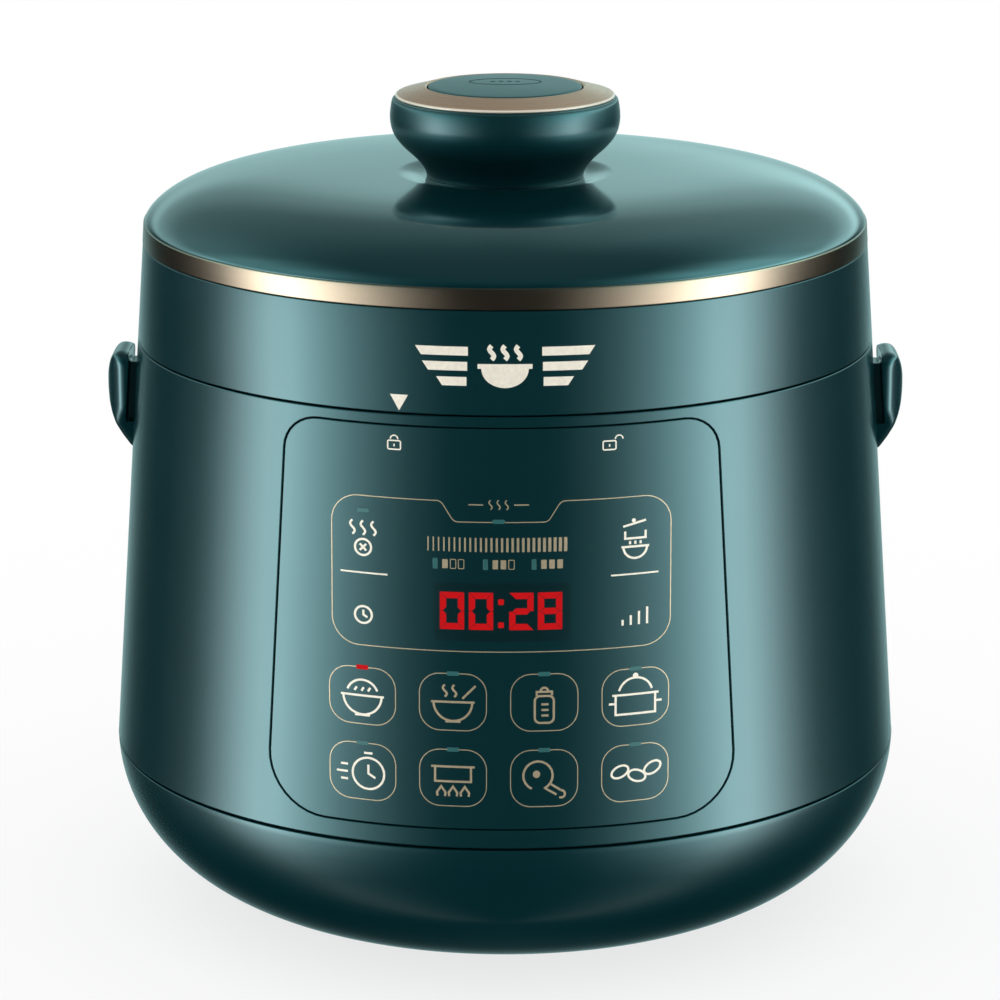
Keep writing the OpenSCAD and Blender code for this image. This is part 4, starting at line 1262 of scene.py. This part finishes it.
def make_ears():
    """Two moulded grips: boolean solids, voxel remeshed and smoothed to round their edges."""
    out_x = span("ear_right")[1].x
    profile = [
        (100, 134.8), (110.4, 135.2), (112.8, 139.2), (114.7, 143), (116, 145.8), (116.8, 148.6),
        (117.3, 152.3), (117.4, 155.4), (117.2, 158), (116.6, 160.8), (115.8, 163), (114.6, 164.4),
        (113.6, 164.8), (111.6, 164.8), (110.8, 164.3), (110.6, 163.6), (100, 163.6),
    ]
    half_w, chin_w, plan_r = 11.0, 5.0, 15.0
    side = arc(half_w - 4, 160.8, 4, 0, 90) + arc(4 - half_w, 160.8, 4, 90, 180)
    side += [(-half_w, 148), (-chin_w, 134.6), (chin_w, 134.6), (half_w, 148)]

    def solid(points, faces):
        """A closed solid for the booleans."""
        mesh = bpy.data.meshes.new("ear_tool")
        mesh.from_pydata(points, [], faces)
        work = bmesh.new()
        work.from_mesh(mesh)
        bmesh.ops.recalc_face_normals(work, faces=work.faces)
        work.to_mesh(mesh)
        work.free()
        tool = bpy.data.objects.new("ear_tool", mesh)
        bpy.context.scene.collection.objects.link(tool)
        return tool

    def prism(loop, lift):
        """The solid between two copies of a loop; lift(p, k) places a point of copy 0 or 1."""
        count = len(loop)
        faces = [list(range(count))[::-1], list(range(count, 2 * count))]
        faces += [[i, (i + 1) % count, count + (i + 1) % count, count + i] for i in range(count)]
        return solid([lift(p, k) for k in (0, 1) for p in loop], faces)

    def turned(corners):
        return solid(*lathe(corners, steps=96))

    grip = prism(profile, lambda p, k: (p[0], -20 + 40 * k, p[1]))
    disc = prism(circle(out_x - plan_r, 0, plan_r, 64), lambda p, k: (p[0], p[1], 130 + 40 * k))
    outline = prism(side, lambda p, k: (98 + 24 * k, p[0], p[1]))
    low_z, slot_z, web_z, top_z = 128, 144.0, 161.0, 172
    sunk, gap, web_w = 1.9, 2.4, 4.5
    wall = turned([
        (0, low_z), (wall_r(low_z) - sunk, low_z), (wall_r(top_z) - sunk, top_z), (0, top_z),
    ])
    slot = turned([
        (80, slot_z), (wall_r(slot_z) + gap, slot_z), (wall_r(top_z) + gap, top_z), (80, top_z),
    ])
    web = prism(
        [(90, low_z), (125, low_z), (125, web_z), (90, web_z)],
        lambda p, k: (p[0], (2 * k - 1) * web_w, p[1]),
    )

    def cut(target, tool, operation):
        modifier = target.modifiers.new("cut", "BOOLEAN")
        modifier.operation = operation
        modifier.solver = "EXACT"
        modifier.object = tool

    def round_off(voxel, times):
        remesh = grip.modifiers.new("remesh", "REMESH")
        remesh.mode = "VOXEL"
        remesh.voxel_size = voxel
        smooth = grip.modifiers.new("smooth", "SMOOTH")
        smooth.factor = 0.5
        smooth.iterations = times

    cut(slot, web, "DIFFERENCE")
    cut(grip, disc, "INTERSECT")
    cut(grip, outline, "INTERSECT")
    round_off(0.4, 60)
    cut(grip, wall, "DIFFERENCE")
    cut(grip, slot, "DIFFERENCE")
    round_off(0.26, 14)
    bpy.context.view_layer.update()
    graph = bpy.context.evaluated_depsgraph_get()
    made = bpy.data.meshes.new_from_object(grip.evaluated_get(graph))
    points = [v.co.copy() for v in made.vertices]
    faces = [list(p.vertices) for p in made.polygons]
    for tool in (grip, disc, outline, wall, slot, web):
        bpy.data.objects.remove(tool)
    bpy.data.meshes.remove(made)
    for name, sign in (("ear_right", 1), ("ear_left", -1)):
        placed = [(sign * p.x, p.y, p.z) for p in points]
        wound = faces if sign > 0 else [f[::-1] for f in faces]
        piece = make_piece(
            name + "_grip", placed, wound, TEAL, "base", (name,)
        )
        piece.data.shade_smooth()


# ---------------------------------------------------------------- CAD nodes that stay

CAD_LOOKS = (
    (PCB, "touch_board power_board"),
    (BLACK, "display_module top_ring bottom_plate inlet_housing cup_bay lid_underside"),
    (BLACK, "pressure_switch lid_switch power_components"),
    (STEEL, "outer_pot bayonet_ring inner_lid liner_plate debris_screen vent_pipe"),
    (STEEL, "lever_bracket vent_lever sensor_bracket heating_element"),
    (CAST, "heating_plate"),
    (TURNED, "temperature_sensor limiting_valve float_valve float_guide lever_pin"),
    (TURNED, "vent_rod lid_magnet inlet_pins"),
    (ZINC, "chassis_screws bottom_screws ear_screws knob_screws lid_screws"),
    (ZINC, "sensor_spring vent_spring"),
    (COATING, "inner_pot"),
    (SILICONE, "sealing_ring liner_grommet float_seal thermal_fuse"),
    (FOOT, "rubber_feet"),
    (CLEAR, "condensate_cup"),
    (WIRE, "wiring"),
)


def dress_cad():
    """Gives each CAD node that stays its material."""
    for material, names in CAD_LOOKS:
        for name in names.split():
            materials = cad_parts[name].data.materials
            materials.clear()
            materials.append(material)


# ---------------------------------------------------------------- stage


# Brightness of the studio round the object: (degrees from the front, level)
SIDE_BOXES = [
    (0, 0.05), (15, 0.06), (19, 0.15), (28, 0.5), (37, 1.3), (47, 2.7), (57, 4.9), (68, 7.9),
    (76, 7.5), (84, 4.6), (91, 2.3), (98, 0.85), (105, 0.28), (113, 0.12), (122, 0.04),
    (132, 0.03), (145, 0.1), (160, 0.4), (180, 0.8),
]
UPPER_STUDIO = [
    (0, 0.06), (16, 0.06), (28, 0.33), (37, 0.8), (47, 1.5), (57, 2.4), (68, 4.1), (77, 4.9),
    (90, 4.5), (107, 4.0), (113, 2.8), (122, 1.9), (131, 1.7), (142, 1.25), (150, 1.0),
    (160, 0.76), (170, 0.63), (180, 0.43),
]
BOX_FADE = [(0, 1), (18, 1), (28, 0.5), (38, 0.2), (50, 0.06), (90, 0.02)]
STUDIO_TINT = (0.62, 1.0, 1.0, 1)


def make_studio():
    """Soft studio: even light on rough surfaces, and two tall side boxes in the reflections.

    Brightness and tint come from the direction in the world. turn is 0 in front and 180 behind,
    tilt is the height above the horizon, and both are in degrees.
    """
    world = bpy.data.worlds.new("studio")
    bpy.context.scene.world = world
    world.use_nodes = True
    world.cycles.sampling_method = "NONE"
    graph = Graph(world.node_tree)
    ease, mix = graph.ease, graph.mix

    def times(a, b):
        return graph.math("MULTIPLY", a, b)

    def left(share):
        return graph.math("SUBTRACT", 1.0, share)

    x, y, z = graph.add("SeparateXYZ", {0: graph.add("TexCoord").outputs["Generated"]}).outputs
    turn = graph.math("ARCTAN2", graph.math("ABSOLUTE", x), times(y, -1.0))
    turn = graph.math("DEGREES", turn)
    tilt = graph.math("DEGREES", graph.math("ARCSINE", z))
    # Below the horizon the side boxes reach down and fade
    lower = times(graph.curve(turn, SIDE_BOXES), graph.curve(times(tilt, -1.0), BOX_FADE))
    # Above the horizon a broad dome is brighter low at the back and to the right
    upper = graph.curve(turn, UPPER_STUDIO)
    low_back = times(left(ease(tilt, 9.0, 13.5)), ease(turn, 130.0, 160.0))
    upper = graph.math("ADD", upper, times(low_back, 0.42))
    sided = times(graph.math("SUBTRACT", ease(x, -0.16, 0.16), 0.5), 0.54)
    upper = times(upper, graph.math("ADD", sided, 1.0))
    upper = times(upper, mix(ease(tilt, 12.0, 24.0), 1.0, 0.55))
    upper = mix(ease(tilt, 35.0, 65.0), upper, 0.2)
    high = ease(tilt, 2.0, 9.0)
    glossy = graph.add("LightPath").outputs["Is Glossy Ray"]
    background = graph.tree.nodes["Background"].inputs
    graph.link(mix(glossy, 1.0, mix(high, lower, upper)), background["Strength"])
    # Reflections of the upper studio and of the low back are tinted teal
    cool = mix(ease(tilt, 48.0, 75.0), high, 0.35)
    cool = graph.math("ADD", cool, times(ease(turn, 120.0, 145.0), left(high)))
    tint = graph.blend(times(cool, glossy), (1, 1, 1, 1), STUDIO_TINT)
    graph.link(tint, background["Color"])


def make_floor():
    """Plain pale floor, left out of the lacquer's reflections."""
    mesh = bpy.data.meshes.new("floor")
    half, glow = 20.0, 0.76
    corners = [(-half, -half, 0), (half, -half, 0), (half, half, 0), (-half, half, 0)]
    mesh.from_pydata(corners, [], [(0, 1, 2, 3)])
    floor = bpy.data.objects.new("floor", mesh)
    bpy.context.scene.collection.objects.link(floor)
    made = Finish("floor_paper", (0.24, 0.24, 0.24), 0.9, Specular_IOR_Level=0.0)
    made.glow((1, 1, 1), glow)
    made.tint(made.noise(2, 2), 0.995, 1.0)
    mesh.materials.append(made.material)
    floor.visible_glossy = False


def make_camera():
    """The photo's view: slightly from above, from far away."""
    azimuth, pitch = math.radians(0.6), math.radians(14.66)
    distance, height = 1.2, 0.432
    data = bpy.data.cameras.new("camera")
    data.sensor_width = 36
    data.lens = 149.9
    data.shift_x = -0.0051
    data.clip_start, data.clip_end = 0.05, 50
    camera = bpy.data.objects.new("camera", data)
    camera.location = (distance * math.sin(azimuth), -distance * math.cos(azimuth), height)
    camera.rotation_euler = (math.pi / 2 - pitch, 0, azimuth)
    bpy.context.scene.collection.objects.link(camera)
    bpy.context.scene.camera = camera


make_bowl()
make_body_shell()
make_panel()
make_prints()
make_lid()
make_knob()
make_outlet()
make_ears()
dress_cad()
make_studio()
make_floor()
make_camera()

view_settings = bpy.context.scene.view_settings
view_settings.view_transform = "Standard"
bpy.context.scene.cycles.use_denoising = True
